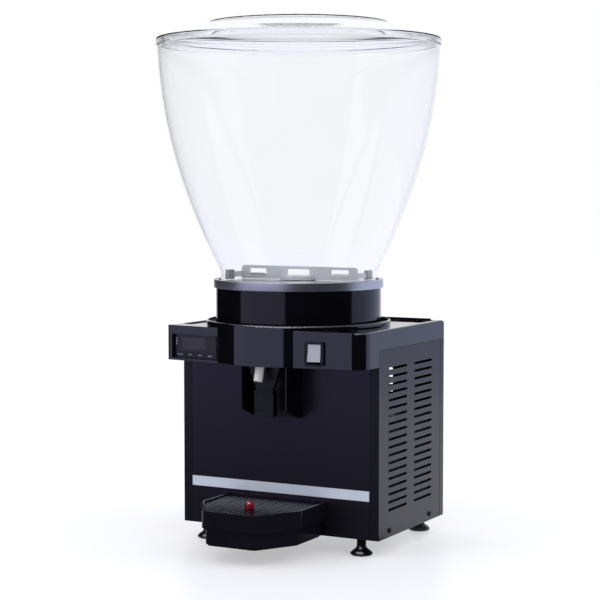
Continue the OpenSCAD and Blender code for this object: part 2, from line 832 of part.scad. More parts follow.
module lid() {
    slope_r = lid_r - 2;
    inner_r = bowl_top_r - bowl_wall - 2;
    color([0.88, 0.92, 0.97, 0.35]) on_axis() rotate_extrude($fn = 128) polygon([
        [0, lid_top_z - lid_wall], [lid_top_r - 2, lid_top_z - lid_wall],
        [lid_top_r - 1, lid_plateau_z - lid_wall], [inner_r - lid_wall, lid_shoulder_z - lid_wall],
        [inner_r - lid_wall, lid_z - lid_lip_h], [inner_r, lid_z - lid_lip_h], [inner_r, lid_z],
        [lid_r, lid_z], [lid_r, lid_shoulder_z - 1], [lid_r - 1, lid_shoulder_z], [slope_r, lid_shoulder_z],
        [lid_top_r, lid_plateau_z], [lid_top_r - 0.4, lid_top_z - 0.4], [lid_top_r - 1.2, lid_top_z],
        [0, lid_top_z]]);
}

// Mixing paddle, turned through the pan by magnets

magnet_r = 5;
magnet_h = 2;
magnet_count = 4;
paddle_corner_r = 5;
window_top = paddle_h - 3.5;
window_low = 3.8;
wiper_t = 1.2;
wiper_h = 6.5;

// A window in the paddle plate, between two places along it
module paddle_window(from, to) {
    block([from, -paddle_t, window_low], [to, paddle_t, window_top]);
}

// One end of the plate: the plate, its two windows and the wiper arm at its tip
module paddle_end() {
    half = paddle_l / 2;
    difference() {
        union() {
            block([0, -paddle_t / 2, 0], [half, paddle_t / 2, paddle_h - paddle_corner_r]);
            block([0, -paddle_t / 2, 0], [half - paddle_corner_r, paddle_t / 2, paddle_h]);
            translate([half - paddle_corner_r, 0, paddle_h - paddle_corner_r])
                bar_y(paddle_corner_r, -paddle_t / 2, paddle_t);
        }
        paddle_window(-cut, paddle_l * 0.095);
        paddle_window(half - 38.5, half - 13);
    }
    translate([0, paddle_t / 2, window_low]) rotate([-55, 0, 0])
        block([half - 37.5, -1.2, -1], [half - 14, 0, 4]);
    block([half - wiper_t, -paddle_t / 2, 2], [half, wiper_l - 8, 2 + wiper_h]);
}

module mixing_paddle() {
    color("#b8bcc0") on_axis() translate([0, 0, paddle_z]) difference() {
        union() {
            paddle_end();
            rotate([0, 0, 180]) paddle_end();
            cylinder(r = hub_r, h = hub_h);
        }
        translate([0, 0, -cut]) cylinder(r = pin_r + run_gap, h = cut + pin_h);
        magnet_pockets(magnet_h + 0.2);
    }
}

module magnet_pockets(h) {
    for (i = [0 : magnet_count - 1]) {
        rotate([0, 0, 45 + i * 360 / magnet_count]) translate([hub_r - magnet_r - 3, 0, -cut])
            cylinder(r = magnet_r + 0.1, h = h + cut);
    }
}

module paddle_magnets() {
    color("#55585e") on_axis() for (i = [0 : magnet_count - 1]) {
        rotate([0, 0, 45 + i * 360 / magnet_count]) translate([hub_r - magnet_r - 3, 0, paddle_z + 0.1])
            cylinder(r = magnet_r, h = magnet_h);
    }
}

// Rubber blocks that wipe the pan, one at the end of each arm
module wiper_blades() {
    half = paddle_l / 2;
    color("#2c2e33") on_axis() for (turn = [0, 180]) {
        rotate([0, 0, turn]) translate([0, 0, paddle_z]) difference() {
            block([half - wiper_t - 2.4, wiper_l - 18, 0.2], [half + 1.4, wiper_l - 2, 11]);
            block([half - wiper_t - 0.05, wiper_l - 20, 1.9], [half + 0.05, wiper_l - 7.9, 2.1 + wiper_h]);
        }
    }
}

gearbox_top = cover_under - 4;
shaft_r = 4;
drive_h = 5;

// The disc of magnets under the pan, on the gearbox's output shaft
module drive_magnet() {
    color("#6b6e75") on_axis() {
        cylinder_between(drive_r, pan_under - 0.5 - drive_h, pan_under - 0.5);
        cylinder_between(shaft_r, gearbox_top - 26, pan_under - 1);
    }
}

module mixer_motor() {
    color("#9a9ca2") on_axis() difference() {
        union() {
            cylinder_between(gearbox_r, gearbox_top - gearbox_h, gearbox_top);
            cylinder_between(motor_r, gearbox_top - gearbox_h - motor_h, gearbox_top - gearbox_h + weld);
            cylinder_between(shaft_r + 8, gearbox_top - weld, gearbox_top + 9);
        }
        cylinder_between(shaft_r + run_gap, gearbox_top - 27, gearbox_top + 10);
    }
}

// A plate under the cover with two folded ears
module motor_bracket() {
    w = gearbox_r + 12;
    color("#a4a6ab") on_axis() difference() {
        union() {
            block([-w, -w + 14, gearbox_top], [w, w, gearbox_top + 2]);
            for (side = [-1, 1]) {
                block([side * w - 2, -w + 14, gearbox_top], [side * w + 2, w, cover_under]);
            }
        }
        cylinder_between(shaft_r + 8.2, gearbox_top - cut, cover_top);
        for (x = coil_leg_xs) {
            cylinder_at(x, coil_r + 1, gearbox_top - cut, cover_top);
        }
    }
}

module cylinder_at(x, r, low, high) {
    translate([x, 0, 0]) cylinder_between(r, low, high);
}

// Tap

// The spout tube's own axis, from its mouth upwards
module spout_line() {
    translate([0, -spout_reach, spout_z]) rotate([-spout_lean, 0, 0]) children();
}

// Where the spout's axis is, along Y, at a height
function spout_y(z) = -spout_reach + (z - spout_z) * tan(spout_lean);

spout_l = (pan_under - spout_z) / cos(spout_lean);
pinch_z = spout_z + 40;
pinch_bar_r = 3;
pinch_off = (spout_r + pinch_bar_r) / cos(spout_lean);
anvil_y = spout_y(pinch_z) - pinch_off;
housing_top = cover_under;
housing_low = apron_z - 58;
housing_back_low = housing_low - 13;
housing_screws = [for (side = [-1, 1]) [side * (housing_w / 2 - 9), 0, apron_z - 20]];
pivot = [-18, housing_top - 8];
pad_y = -housing_reach + 4;
pad_top = apron_z - 33.5;
pad_low = pad_top - pad_h;

module spout_tube() {
    color("#f2f2ef") from_front() difference() {
        spout_line() cylinder(r = spout_r, h = spout_l + 6);
        spout_line() translate([0, 0, -cut]) cylinder(r = spout_bore_r, h = spout_l + 10);
        block([-20, outlet_y - 30, pan_under], [20, outlet_y + 30, pan_under + 20]);
    }
}

module housing_cheek() {
    rotate([90, 0, 90]) linear_extrude(housing_wall) polygon([[0, housing_back_low], [-6, housing_back_low],
        [-housing_reach, housing_low], [-housing_reach, apron_z + 2], [anvil_y - 5, apron_z + 8],
        [anvil_y - 5, pinch_z + 8], [pivot[0] - 10, housing_top], [0, housing_top]]);
}

module tap_housing() {
    half = housing_w / 2;
    color("#101014") from_front() difference() {
        union() {
            translate([-half, 0, 0]) housing_cheek();
            translate([half - housing_wall, 0, 0]) housing_cheek();
            block([-half, -housing_wall, housing_back_low], [half, 0, housing_top]);
            translate([0, anvil_y, pinch_z]) bar_x(pinch_bar_r, -half + weld, housing_w - 2 * weld);
        }
        translate([0, pivot[0], pivot[1]]) bar_x(pivot_r, -half - cut, housing_w + 2 * cut);
        for (place = housing_screws) {
            translate(place) bar_y(screw_r + 0.15, -housing_wall - cut, housing_wall + 2 * cut);
        }
    }
}

lever_top_w = 48;
lever_neck_w = 24;
knuckle_r = 5.5;

arm_y = pad_y - lever_t / 2;
arm_bend_z = apron_z + 4;
flange_t = 1.6;
flange_depth = 5;

// The arm seen from the side, a thickness deep
module arm_side(t) {
    polygon([[arm_y, pad_top - 6], [arm_y, arm_bend_z], [pivot[0] - knuckle_r, pivot[1]],
        [pivot[0] + 1, pivot[1] - 3], [pivot[0] - knuckle_r + t, pivot[1] - 8],
        [arm_y + t, arm_bend_z], [arm_y + t, pad_top - 6]]);
}

// The arm seen from the front, narrow at the pad and wide above it
module arm_front(inset) {
    neck = lever_neck_w / 2 - inset;
    wide = lever_top_w / 2 - inset;
    polygon([[-neck, pad_top - 8], [neck, pad_top - 8], [neck, pad_top], [wide, apron_z],
        [wide, housing_top], [-wide, housing_top], [-wide, apron_z], [-neck, pad_top]]);
}

module arm_part(t, inset) {
    intersection() {
        rotate([90, 0, 90]) linear_extrude(lever_top_w, center = true) arm_side(t);
        rotate([90, 0, 0]) linear_extrude(4 * housing_reach, center = true) difference() {
            arm_front(0);
            if (inset > 0) {
                arm_front(inset);
            }
        }
    }
}

// The arm runs from the pivot down behind the tube, and ends in the push pad
module tap_lever() {
    color("#1a1a1f") from_front() difference() {
        union() {
            arm_part(lever_t, 0);
            arm_part(flange_depth, flange_t);
            translate([0, pivot[0], pivot[1]]) bar_x(knuckle_r, -lever_top_w / 2, lever_top_w);
            lever_pad();
            lever_nose();
        }
        translate([0, pivot[0], pivot[1]]) bar_x(pivot_r + run_gap, -lever_top_w, 2 * lever_top_w);
    }
}

// The pad has a raised lip along its top and its bottom edge
module lever_pad() {
    lip = 1.6;
    face_y = pad_y - lever_t;
    block([-pad_w / 2, face_y, pad_low], [pad_w / 2, pad_y + 1.5, pad_top]);
    for (z = [pad_low, pad_top - 3]) {
        block([-pad_w / 2, face_y - lip, z], [pad_w / 2, face_y + weld, z + 3]);
    }
    for (x = [-pad_w / 2, pad_w / 2 - 1.5]) {
        block([x, face_y, pad_low], [x + 1.5, pad_y + 7, pad_top]);
    }
}

// The nose that pinches the tube from behind while the lever is at rest
module lever_nose() {
    nose_y = spout_y(pinch_z) + pinch_off + move_gap;
    reach = (pinch_z - arm_bend_z) / (pivot[1] - arm_bend_z);
    seat_y = arm_y + reach * (pivot[0] - knuckle_r - arm_y) + lever_t / 2;
    translate([0, nose_y, pinch_z]) bar_x(pinch_bar_r, -spout_r - 2, 2 * spout_r + 4);
    block([-spout_r - 2, min(nose_y, seat_y), pinch_z - 2], [spout_r + 2, max(nose_y, seat_y) + 1, pinch_z + 2]);
}

module lever_pin() {
    color("silver") from_front() translate([0, pivot[0], pivot[1]]) bar_x(pivot_r, -housing_w / 2, housing_w);
}

// A torsion spring round the pin: its coils, and a leg to the housing's back
module lever_spring() {
    coil_x = lever_top_w / 2 + move_gap;
    coil_end = housing_w / 2 - housing_wall;
    color("#c0c3c8") from_front() translate([0, pivot[0], pivot[1]]) {
        translate([coil_x, 0, 0]) rotate([0, 90, 0]) tube(pivot_r + 2.2, pivot_r, 0, coil_end - coil_x);
        translate([coil_end - 1, 0, -pivot_r - 1.4]) rotate([-90, 0, 0])
            cylinder(r = 0.8, h = -pivot[0] - housing_wall);
    }
}

// Controller

display_x = -half_w + 45.5;
opening_w = display_w + 6;
opening_h = display_h + 0.6;
display_z = apron_z + 3 + opening_h / 2;
face_shift = -2.5;
key_z = -display_h / 2 + 1.2 + key_h / 2;
key_travel = 0.5;
controller_depth = 32;
well_t = 1.5;
well_depth = display_recess + 3;

// The middle of the display bay's opening, its face at y = 0
module at_display() {
    translate([display_x, -display_reach, display_z]) rotate([0, 0, -bay_turn]) children();
}

// The middle of the controller's face
module at_face() {
    at_display() translate([face_shift, display_recess, 0]) children();
}

// Cuts and pieces in the controller's face share these places
module at_key(i) {
    at_face() translate([(i - 1.5) * key_pitch - 0.4, 0, key_z]) children();
}

module controller() {
    color("#191920") from_front() difference() {
        union() {
            at_face() {
                block([-display_w / 2, 0, -display_h / 2], [display_w / 2, 4, display_h / 2]);
                block([-display_w / 2 + 2, 4 - weld, -display_h / 2 + 1],
                    [display_w / 2 - 2, controller_depth, display_h / 2 - 1]);
            }
            at_display() block([-opening_w / 2 - well_t, well_depth, -opening_h / 2 - well_t],
                [opening_w / 2 + well_t, well_depth + 2, opening_h / 2 + well_t]);
        }
        for (i = [0 : 3]) {
            at_key(i) block([-key_w / 2 - 0.3, -cut, -key_h / 2 - 0.3],
                [key_w / 2 + 0.3, key_t + key_travel + 0.4, key_h / 2 + 0.3]);
        }
        display_window_form(0.1);
    }
}

// A grown copy cuts the window's seat
module display_window_form(grow) {
    at_face() block([-22 - grow, grow > 0 ? -cut : 0, -4 - grow], [17 + grow, 1.5, 12 + grow]);
}

module display_window() {
    color("#26262e") from_front() display_window_form(0);
}

module key(i) {
    color("#24242c") from_front() at_key(i) block([-key_w / 2, 0, -key_h / 2], [key_w / 2, key_t, key_h / 2]);
}

module key_set() { key(0); }
module key_down() { key(1); }
module key_up() { key(2); }
module key_light() { key(3); }

// Rocker switch

switch_x = half_w - 63.6;
switch_z = apron_z + 3.5 + switch_h / 2;
rocker_axis_y = 4;
rocker_pin_r = 1.5;
rocker_slack = 0.35;
switch_depth = 24;

// The middle of the switch bay's opening, its face at y = 0
module at_switch() {
    translate([switch_x, -switch_reach, switch_z]) rotate([0, 0, bay_turn]) children();
}

module power_switch() {
    color("#101013") from_front() at_switch() difference() {
        union() {
            translate([0, -bezel_t, 0]) rotate([-90, 0, 0]) linear_extrude(bezel_t) soft_rect(switch_w, switch_h, 2);
            block([-switch_w / 2 + 1.6, -weld, -switch_h / 2 + 1.6],
                [switch_w / 2 - 1.6, switch_depth, switch_h / 2 - 1.6]);
        }
        block([-rocker_w / 2 - rocker_slack, -bezel_t - cut, -rocker_h / 2 - 1.8],
            [rocker_w / 2 + rocker_slack, 14, rocker_h / 2 + 1.8]);
        translate([0, rocker_axis_y, 0]) bar_x(rocker_pin_r + run_gap, -rocker_w / 2 - 1.4, rocker_w + 2.8);
    }
}

// The rocker rests with its upper half pressed in
module rocker() {
    half = rocker_h / 2;
    front = -bezel_t - rocker_axis_y - 0.6;
    color("#3a3a42") from_front() at_switch() translate([0, rocker_axis_y, 0]) rotate([-rocker_tilt, 0, 0]) {
        rotate([90, 0, 90]) linear_extrude(rocker_w, center = true) polygon([[front, half], [front + 1.2, 0],
            [front, -half], [0, -half], [5, -3], [5, 3], [0, half]]);
        bar_x(rocker_pin_r, -rocker_w / 2 - 1, rocker_w + 2);
    }
}

// Drip tray and its holder

holder_wall = 2.2;
tray_back_gap = label_t + 0.4;
tray_side_y = 72;
holder_screws = [for (side = [-1, 1]) [side * 40, 0, (foot_h + tray_step) / 2 + 3]];

// The tray's outline from above, listed the way that keeps its inside on the left
module tray_plan(inset) {
    w = tray_w / 2;
    back = -tray_back_gap;
    corners = [[w, back], [-w, back], [-w, -tray_side_y], [-tray_front_w / 2, -tray_reach],
        [tray_front_w / 2, -tray_reach], [w, -tray_side_y]];
    radii = [1.5, 1.5, 20, 14, 14, 20];
    count = len(corners);
    moved = [for (i = [0 : count - 1]) inset_corner(corners[(i + count - 1) % count], corners[i],
        corners[(i + 1) % count], inset)];
    polygon([for (i = [0 : count - 1]) each corner_arc(moved[(i + count - 1) % count], moved[i],
        moved[(i + 1) % count], max(0.8, radii[i] - (radii[i] > 2 ? inset : 0)), radii[i] > 2 ? 8 : 3)]);
}

module tray_slab(inset, z, top) {
    translate([0, 0, z]) linear_extrude(top - z) tray_plan(inset);
}

holder_floor = 2;
nest_inset = holder_inset + holder_wall + 0.8;
nest_z = foot_h + holder_floor + 1;
grille_t = 2.4;
grille_z = tray_top - 4.6;

module tray_holder() {
    color("#16161a") from_front() difference() {
        union() {
            tray_slab(holder_inset + 2.5, foot_h, foot_h + 2);
            tray_slab(holder_inset, foot_h + 2 - weld, tray_step);
            block([-tray_w / 2 + 12, -8, foot_h], [tray_w / 2 - 12, 0, tray_step]);
        }
        tray_slab(holder_inset + holder_wall, foot_h + holder_floor, tray_step + cut);
        for (place = holder_screws) {
            translate(place) bar_y(screw_r + 0.15, -10, 10 + cut);
            translate(place) bar_y(screw_head_r + 0.3, -10, 10 - holder_wall);
        }
    }
}

module drip_tray() {
    color("#141418") from_front() difference() {
        union() {
            tray_slab(0, tray_step + move_gap, tray_top);
            tray_slab(nest_inset, nest_z, tray_step + move_gap + weld);
        }
        tray_slab(nest_inset + tray_wall, nest_z + tray_wall, tray_top + cut);
        tray_slab(tray_wall + 2.4, tray_step + move_gap + tray_wall, tray_top + cut);
        tray_slab(tray_wall, grille_z, tray_top + cut);
    }
}

grille_inset = tray_wall + 0.4;
field_y = -34;

module drip_grille() {
    slot_count = floor((tray_w - 12) / grille_pitch);
    rows = floor((tray_reach + field_y - 8) / grille_pitch);
    bore = float_r + run_gap;
    color("#0f0f12") from_front() difference() {
        tray_slab(grille_inset, grille_z + move_gap, grille_z + move_gap + grille_t);
        for (i = [0 : slot_count - 1]) {
            x = (i - (slot_count - 1) / 2) * grille_pitch;
            translate([x, -10, grille_z - cut]) linear_extrude(grille_t + 3 * cut)
                rotate([0, 0, 90]) slot_2d(9, 3.4);
        }
        for (row = [0 : rows - 1]) {
            y = field_y - row * grille_pitch;
            side_w = tray_w / 2 - max(0, (-y - tray_side_y) * (tray_w - tray_front_w) / 2
                / (tray_reach - tray_side_y)) - 10;
            half_count = floor(side_w / grille_pitch);
            for (i = [-half_count : half_count]) {
                if (norm([i * grille_pitch, y + float_y]) > bore + grille_hole_r + 1.5) {
                    translate([i * grille_pitch, y, grille_z - cut])
                        cylinder(r = grille_hole_r, h = grille_t + 3 * cut, $fn = 16);
                }
            }
        }
        translate([0, -float_y, grille_z - cut]) cylinder(r = bore, h = grille_t + 3 * cut);
    }
}

// The float stands on the tray's floor and its dome shows above the grille
module level_float() {
    floor_z = nest_z + tray_wall + move_gap;
    dome_z = tray_top + 1;
    color("#c4122f") from_front() translate([0, -float_y, 0]) {
        cylinder_between(float_r, floor_z, dome_z);
        cylinder_between(float_r + 3, floor_z, grille_z - 16);
        intersection() {
            translate([0, 0, dome_z]) sphere(r = float_r);
            cylinder_between(float_r, dome_z - weld, dome_z + 2 * float_r);
        }
    }
}

// Refrigeration

base_top = foot_h + base_t;
mount_z = base_top + grommet_h;
mount_t = 3;
shell_z = mount_z + mount_t;
mount_dx = 62;
mount_dy = 48;
// Place of the compressor's axis, from the middle of the front panel
shell_x = compressor_x - half_w;
shell_y = cabinet_d - compressor_y;

module at_compressor() {
    translate([shell_x, front_y + shell_y, 0]) children();
}

module compressor_form() {
    at_compressor() rotate_extrude() polygon(concat(
        [[0, shell_z], [compressor_r - 12, shell_z], [compressor_r - 2, shell_z + 12],
            [compressor_r - 2, shell_z + compressor_h * 0.45],
            [compressor_r, shell_z + compressor_h * 0.45], [compressor_r, shell_z + compressor_h * 0.5]],
        [for (i = [0 : 8]) let(t = 90 * i / 8)
            [(compressor_r - 2) * cos(t) * (i == 8 ? 0 : 1), shell_z + compressor_h * (0.5 + 0.5 * sin(t))]]));
}

module compressor() { color("#1d1f24") compressor_form(); }

module compressor_mount() {
    color("#2a2c31") at_compressor() difference() {
        block([-mount_dx - 8, -mount_dy - 8, mount_z], [mount_dx + 8, mount_dy + 8, mount_z + mount_t]);
        at_grommets() cylinder_between(4, mount_z - cut, mount_z + mount_t + cut);
    }
}

module at_grommets() {
    for (sx = [-1, 1], sy = [-1, 1]) {
        translate([sx * mount_dx, sy * mount_dy, 0]) children();
    }
}

module grommets() {
    color("#2b2b2b") at_compressor() at_grommets() {
        cylinder_between(8, base_top, mount_z);
        cylinder_between(3.8, mount_z - weld, mount_z + mount_t + 3);
    }
}

relay_w = 22;

module relay_box() {
    color("#303238") at_compressor() difference() {
        block([compressor_r - 8, -18, shell_z + 26], [compressor_r - 8 + relay_w, 18, shell_z + 66]);
        cylinder_between(compressor_r + 0.1, shell_z, shell_z + compressor_h);
    }
}

condenser_x = half_w - sheet_t - 4 - condenser_t / 2;
condenser_y = cabinet_d / 2 - 6;
condenser_z = foot_h + base_t + 22;
tube_rows = 5;
tube_pitch = condenser_h / tube_rows;
fin_t = 0.6;
tube_gap = 0.05;

// A serpentine of straight runs joined by half-turn bends, in the plane of the side
module condenser_coil() {
    run = condenser_w + 6;
    color("#b87333") from_front() translate([condenser_x, condenser_y, condenser_z]) {
        for (i = [0 : tube_rows - 1]) {
            translate([0, 0, (i + 0.5) * tube_pitch]) bar_y(tube_r, -run / 2, run);
        }
        for (i = [0 : tube_rows - 2]) {
            side = i % 2 == 0 ? 1 : -1;
            translate([0, side * run / 2, (i + 1) * tube_pitch]) rotate([0, 0, side > 0 ? 0 : 180])
                rotate([0, -90, 0]) rotate_extrude(angle = 180)
                translate([tube_pitch / 2, 0]) circle(r = tube_r, $fn = 24);
        }
    }
}

module condenser_fins() {
    step = condenser_w / fin_count;
    color("#c7cad0") from_front() translate([condenser_x, condenser_y, condenser_z]) {
        for (i = [0 : fin_count - 1]) {
            y = -condenser_w / 2 + (i + 0.5) * step;
            difference() {
                block([-condenser_t / 2, y - fin_t / 2, 0], [condenser_t / 2, y + fin_t / 2, condenser_h]);
                for (row = [0 : tube_rows - 1]) {
                    translate([0, 0, (row + 0.5) * tube_pitch])
                        bar_y(tube_r + tube_gap, y - fin_t - cut, 2 * fin_t + 2 * cut);
                }
            }
        }
        for (z = [-fin_t - 1, condenser_h]) {
            block([-condenser_t / 2, -condenser_w / 2, z], [condenser_t / 2, condenser_w / 2, z + fin_t + 1]);
        }
    }
}

shroud_x = condenser_x - condenser_t / 2 - 2;
fan_z = condenser_z + condenser_h / 2;
fan_gap = 2;
fan_depth = 14;
fan_hub_r = 14;

module at_fan() {
    translate([shroud_x, front_y + condenser_y, fan_z]) rotate([0, -90, 0]) children();
}

// A plate that stands on the base and closes the condenser round the fan
module fan_shroud() {
    color("#3a3c42") difference() {
        union() {
            at_fan() translate([-condenser_h / 2, -condenser_w / 2, -2]) cube([condenser_h, condenser_w, 2]);
            at_fan() tube(fan_r + fan_gap + 2, fan_r + fan_gap, -weld, fan_depth);
            from_front() block([shroud_x, condenser_y - condenser_w / 2, base_top],
                [shroud_x + 2, condenser_y + condenser_w / 2, condenser_z + weld]);
            at_fan() for (turn = [45 : 90 : 315]) {
                rotate([0, 0, turn]) block([fan_hub_r + 4, -2, fan_depth + 1], [fan_r + fan_gap + 2, 2, fan_depth + 4]);
                rotate([0, 0, turn]) block([fan_r + fan_gap, -2, fan_depth - cut], [fan_r + fan_gap + 2, 2, fan_depth + 4]);
            }
            at_fan() tube(fan_hub_r + 6, fan_hub_r + 2.1, fan_depth + 1, 3);
        }
        at_fan() translate([0, 0, -2 - cut]) cylinder(r = fan_r + fan_gap, h = 2 + fan_depth);
    }
}

// The motor sits in the shroud's ring, its shaft towards the condenser
module fan_motor() {
    color("#8e9096") at_fan() {
        cylinder_between(fan_hub_r + 2, fan_depth + 1, fan_depth + 30);
        cylinder_between(2.5, 0.6, fan_depth + 1 + weld);
    }
}

module fan_blades() {
    color("#bfc2c8") at_fan() difference() {
        union() {
            cylinder_between(fan_hub_r, 1, fan_depth - 1);
            for (i = [0 : blade_count - 1]) {
                rotate([0, 0, i * 360 / blade_count]) translate([fan_hub_r - 3, 0, fan_depth / 2])
                    rotate([32, 0, 0]) block([0, -11, -0.7], [fan_r - fan_hub_r + 1.5, 11, 0.7]);
            }
        }
        cylinder_between(2.5 + run_gap, -cut, fan_depth + cut);
        difference() {
            cylinder_between(fan_r * 1.4, -fan_depth, 2 * fan_depth);
            cylinder_between(fan_r, -fan_depth - cut, 2 * fan_depth + cut);
        }
    }
}

drier_x = -half_w + 22;
drier_y = 40;
drier_z = foot_h + 90;
drier_l = 70;
pipe_r = 3;
capillary_r = 1.4;

module filter_drier() {
    color("#b87333") from_front() translate([drier_x, drier_y, drier_z]) {
        rotate_extrude() polygon([[0, 0], [pipe_r, 0], [pipe_r, 6], [9, 14], [9, drier_l - 14],
            [pipe_r, drier_l - 6], [pipe_r, drier_l], [0, drier_l]]);
    }
}

// Discharge, liquid and suction pipes, held by the machine along their whole run
module refrigerant_pipes() {
    run = condenser_w / 2 + 3;
    low_z = condenser_z + 0.5 * tube_pitch;
    high_z = condenser_z + (tube_rows - 0.5) * tube_pitch;
    front_run = condenser_y - run;
    rear_run = condenser_y + run;
    dome_x = shell_x + compressor_r * 0.5;
    dome_y = shell_y + compressor_r * 0.5;
    dome_z = shell_z + compressor_h * 0.8;
    leg_z = coil_leg_z;
    color("#b87333") difference() {
        from_front() union() {
            pipe([[dome_x, dome_y, dome_z], [dome_x, dome_y, high_z], [dome_x, rear_run + 6, high_z],
                [condenser_x, rear_run + 6, high_z], [condenser_x, rear_run, high_z]], pipe_r);
            pipe([[condenser_x, front_run, low_z], [condenser_x, front_run - 10, low_z],
                [drier_x, front_run - 10, low_z], [drier_x, drier_y, low_z], [drier_x, drier_y, drier_z]], pipe_r);
            pipe([[drier_x, drier_y, drier_z + drier_l], [drier_x, drier_y, leg_z - 10],
                [drier_x, front_fold, leg_z - 10], [coil_leg_xs[0], front_fold, leg_z - 10],
                [coil_leg_xs[0], bowl_setback, leg_z - 10], [coil_leg_xs[0], bowl_setback, leg_z]], capillary_r);
            pipe([[coil_leg_xs[1], bowl_setback, leg_z], [coil_leg_xs[1], bowl_setback, leg_z - 22],
                [coil_leg_xs[1], shell_y, leg_z - 22], [shell_x, shell_y, leg_z - 22],
                [shell_x, shell_y, shell_z + compressor_h - 1]], pipe_r);
        }
        compressor_form();
    }
}

// Electrics

block_x = 20;
block_y = cabinet_d - 26;

module terminal_block() {
    color("#e4e0d2") from_front() difference() {
        block([block_x, block_y - 9, base_top], [block_x + 54, block_y + 9, base_top + 16]);
        for (i = [0 : 4]) {
            translate([block_x + 7 + i * 10, block_y, base_top + 6]) cylinder(r = 2.4, h = 20);
        }
    }
}

// Flanged inlet in the rear panel, with the recess for a lead's connector and three pins
module mains_inlet() {
    color("#141416") from_front() translate([inlet_x, cabinet_d, inlet_z]) {
        difference() {
            union() {
                block([-inlet_w / 2 - 5, 0, -inlet_h / 2 - 3], [inlet_w / 2 + 5, 2.5, inlet_h / 2 + 3]);
                block([-inlet_w / 2 + 0.3, -22, -inlet_h / 2 + 0.3], [inlet_w / 2 - 0.3, weld, inlet_h / 2 - 0.3]);
            }
            block([-inlet_w / 2 + 2, -17, -inlet_h / 2 + 2], [inlet_w / 2 - 2, 2.5 + cut, inlet_h / 2 - 2]);
        }
        for (place = [[-7, -2], [0, 2.5], [7, -2]]) {
            block([place[0] - 1, -18, place[1] - 2], [place[0] + 1, -3, place[1] + 2]);
        }
    }
}

wire_r = 1.8;

// A point behind a bay's face, in plan
function behind(x, reach, turn, back) = [x - back * sin(turn), -reach + back * cos(turn)];

module wiring() {
    inlet_back = cabinet_d - 22;
    over_z = shell_z + compressor_h + 16;
    front_way = 8;
    side_way = half_w - 8;
    rear_way = block_y + 14;
    high_way = cover_under - 8;
    switch_back = behind(switch_x, switch_reach, bay_turn, switch_depth + move_gap);
    display_back = behind(display_x, display_reach, -bay_turn, display_recess + controller_depth + move_gap);
    above_stud = stud_top + 6;
    inlet_wire_x = inlet_x + 2;
    color("#3b3b40") from_front() {
        pipe([[inlet_wire_x, inlet_back, inlet_z], [inlet_wire_x, block_y, inlet_z],
            [inlet_wire_x, block_y, over_z], [block_x + 7, block_y, over_z],
            [block_x + 7, block_y, base_top + 6]], wire_r);
        pipe([[block_x + 27, block_y - 9, base_top + 8], [block_x + 27, front_way, base_top + 8],
            [block_x + 27, front_way, apron_z + 7], [switch_back[0], front_way, apron_z + 7],
            [switch_back[0], front_way, seam_z + 6], [switch_back[0], switch_back[1], seam_z + 6]], wire_r);
        pipe([[block_x + 37, block_y + 9, base_top + 8], [block_x + 37, rear_way, base_top + 8],
            [block_x + 37, rear_way, above_stud], [side_way, rear_way, above_stud], [side_way, rear_way, high_way],
            [-side_way, rear_way, high_way], [-side_way, front_way, high_way],
            [display_back[0], front_way, high_way], [display_back[0], front_way, display_z + 6],
            [display_back[0], display_back[1], display_z + 6]], wire_r);
    }
}

base_plate();
front_panel();
side_panel_left();
side_panel_right();
rear_panel();
cabinet_screws();
label_strip();
foot_nuts();
foot_front_left();
foot_front_right();
foot_rear_left();
foot_rear_right();
top_cover();
collar();
evaporator_pan();
cooling_coil();
insulation();
bowl_seal();
bowl();
lid();
mixing_paddle();
wiper_blades();
paddle_magnets();
drive_magnet();
mixer_motor();
motor_bracket();
tap_housing();
spout_tube();
tap_lever();
lever_pin();
lever_spring();
controller();
display_window();
key_set();
key_down();
key_up();
key_light();
power_switch();
rocker();
tray_holder();
drip_tray();
drip_grille();
level_float();
compressor();
compressor_mount();
grommets();
relay_box();
condenser_coil();
condenser_fins();
fan_shroud();
fan_motor();
fan_blades();
filter_drier();
refrigerant_pipes();
terminal_block();
mains_inlet();
wiring();
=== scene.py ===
"""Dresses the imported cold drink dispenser: a clear bowl on a cooled pan above a black cabinet."""

import json
import math

import bmesh
import bpy
from bpy.props import FloatProperty, FloatVectorProperty, IntProperty, PointerProperty
from mathutils import Matrix, Vector

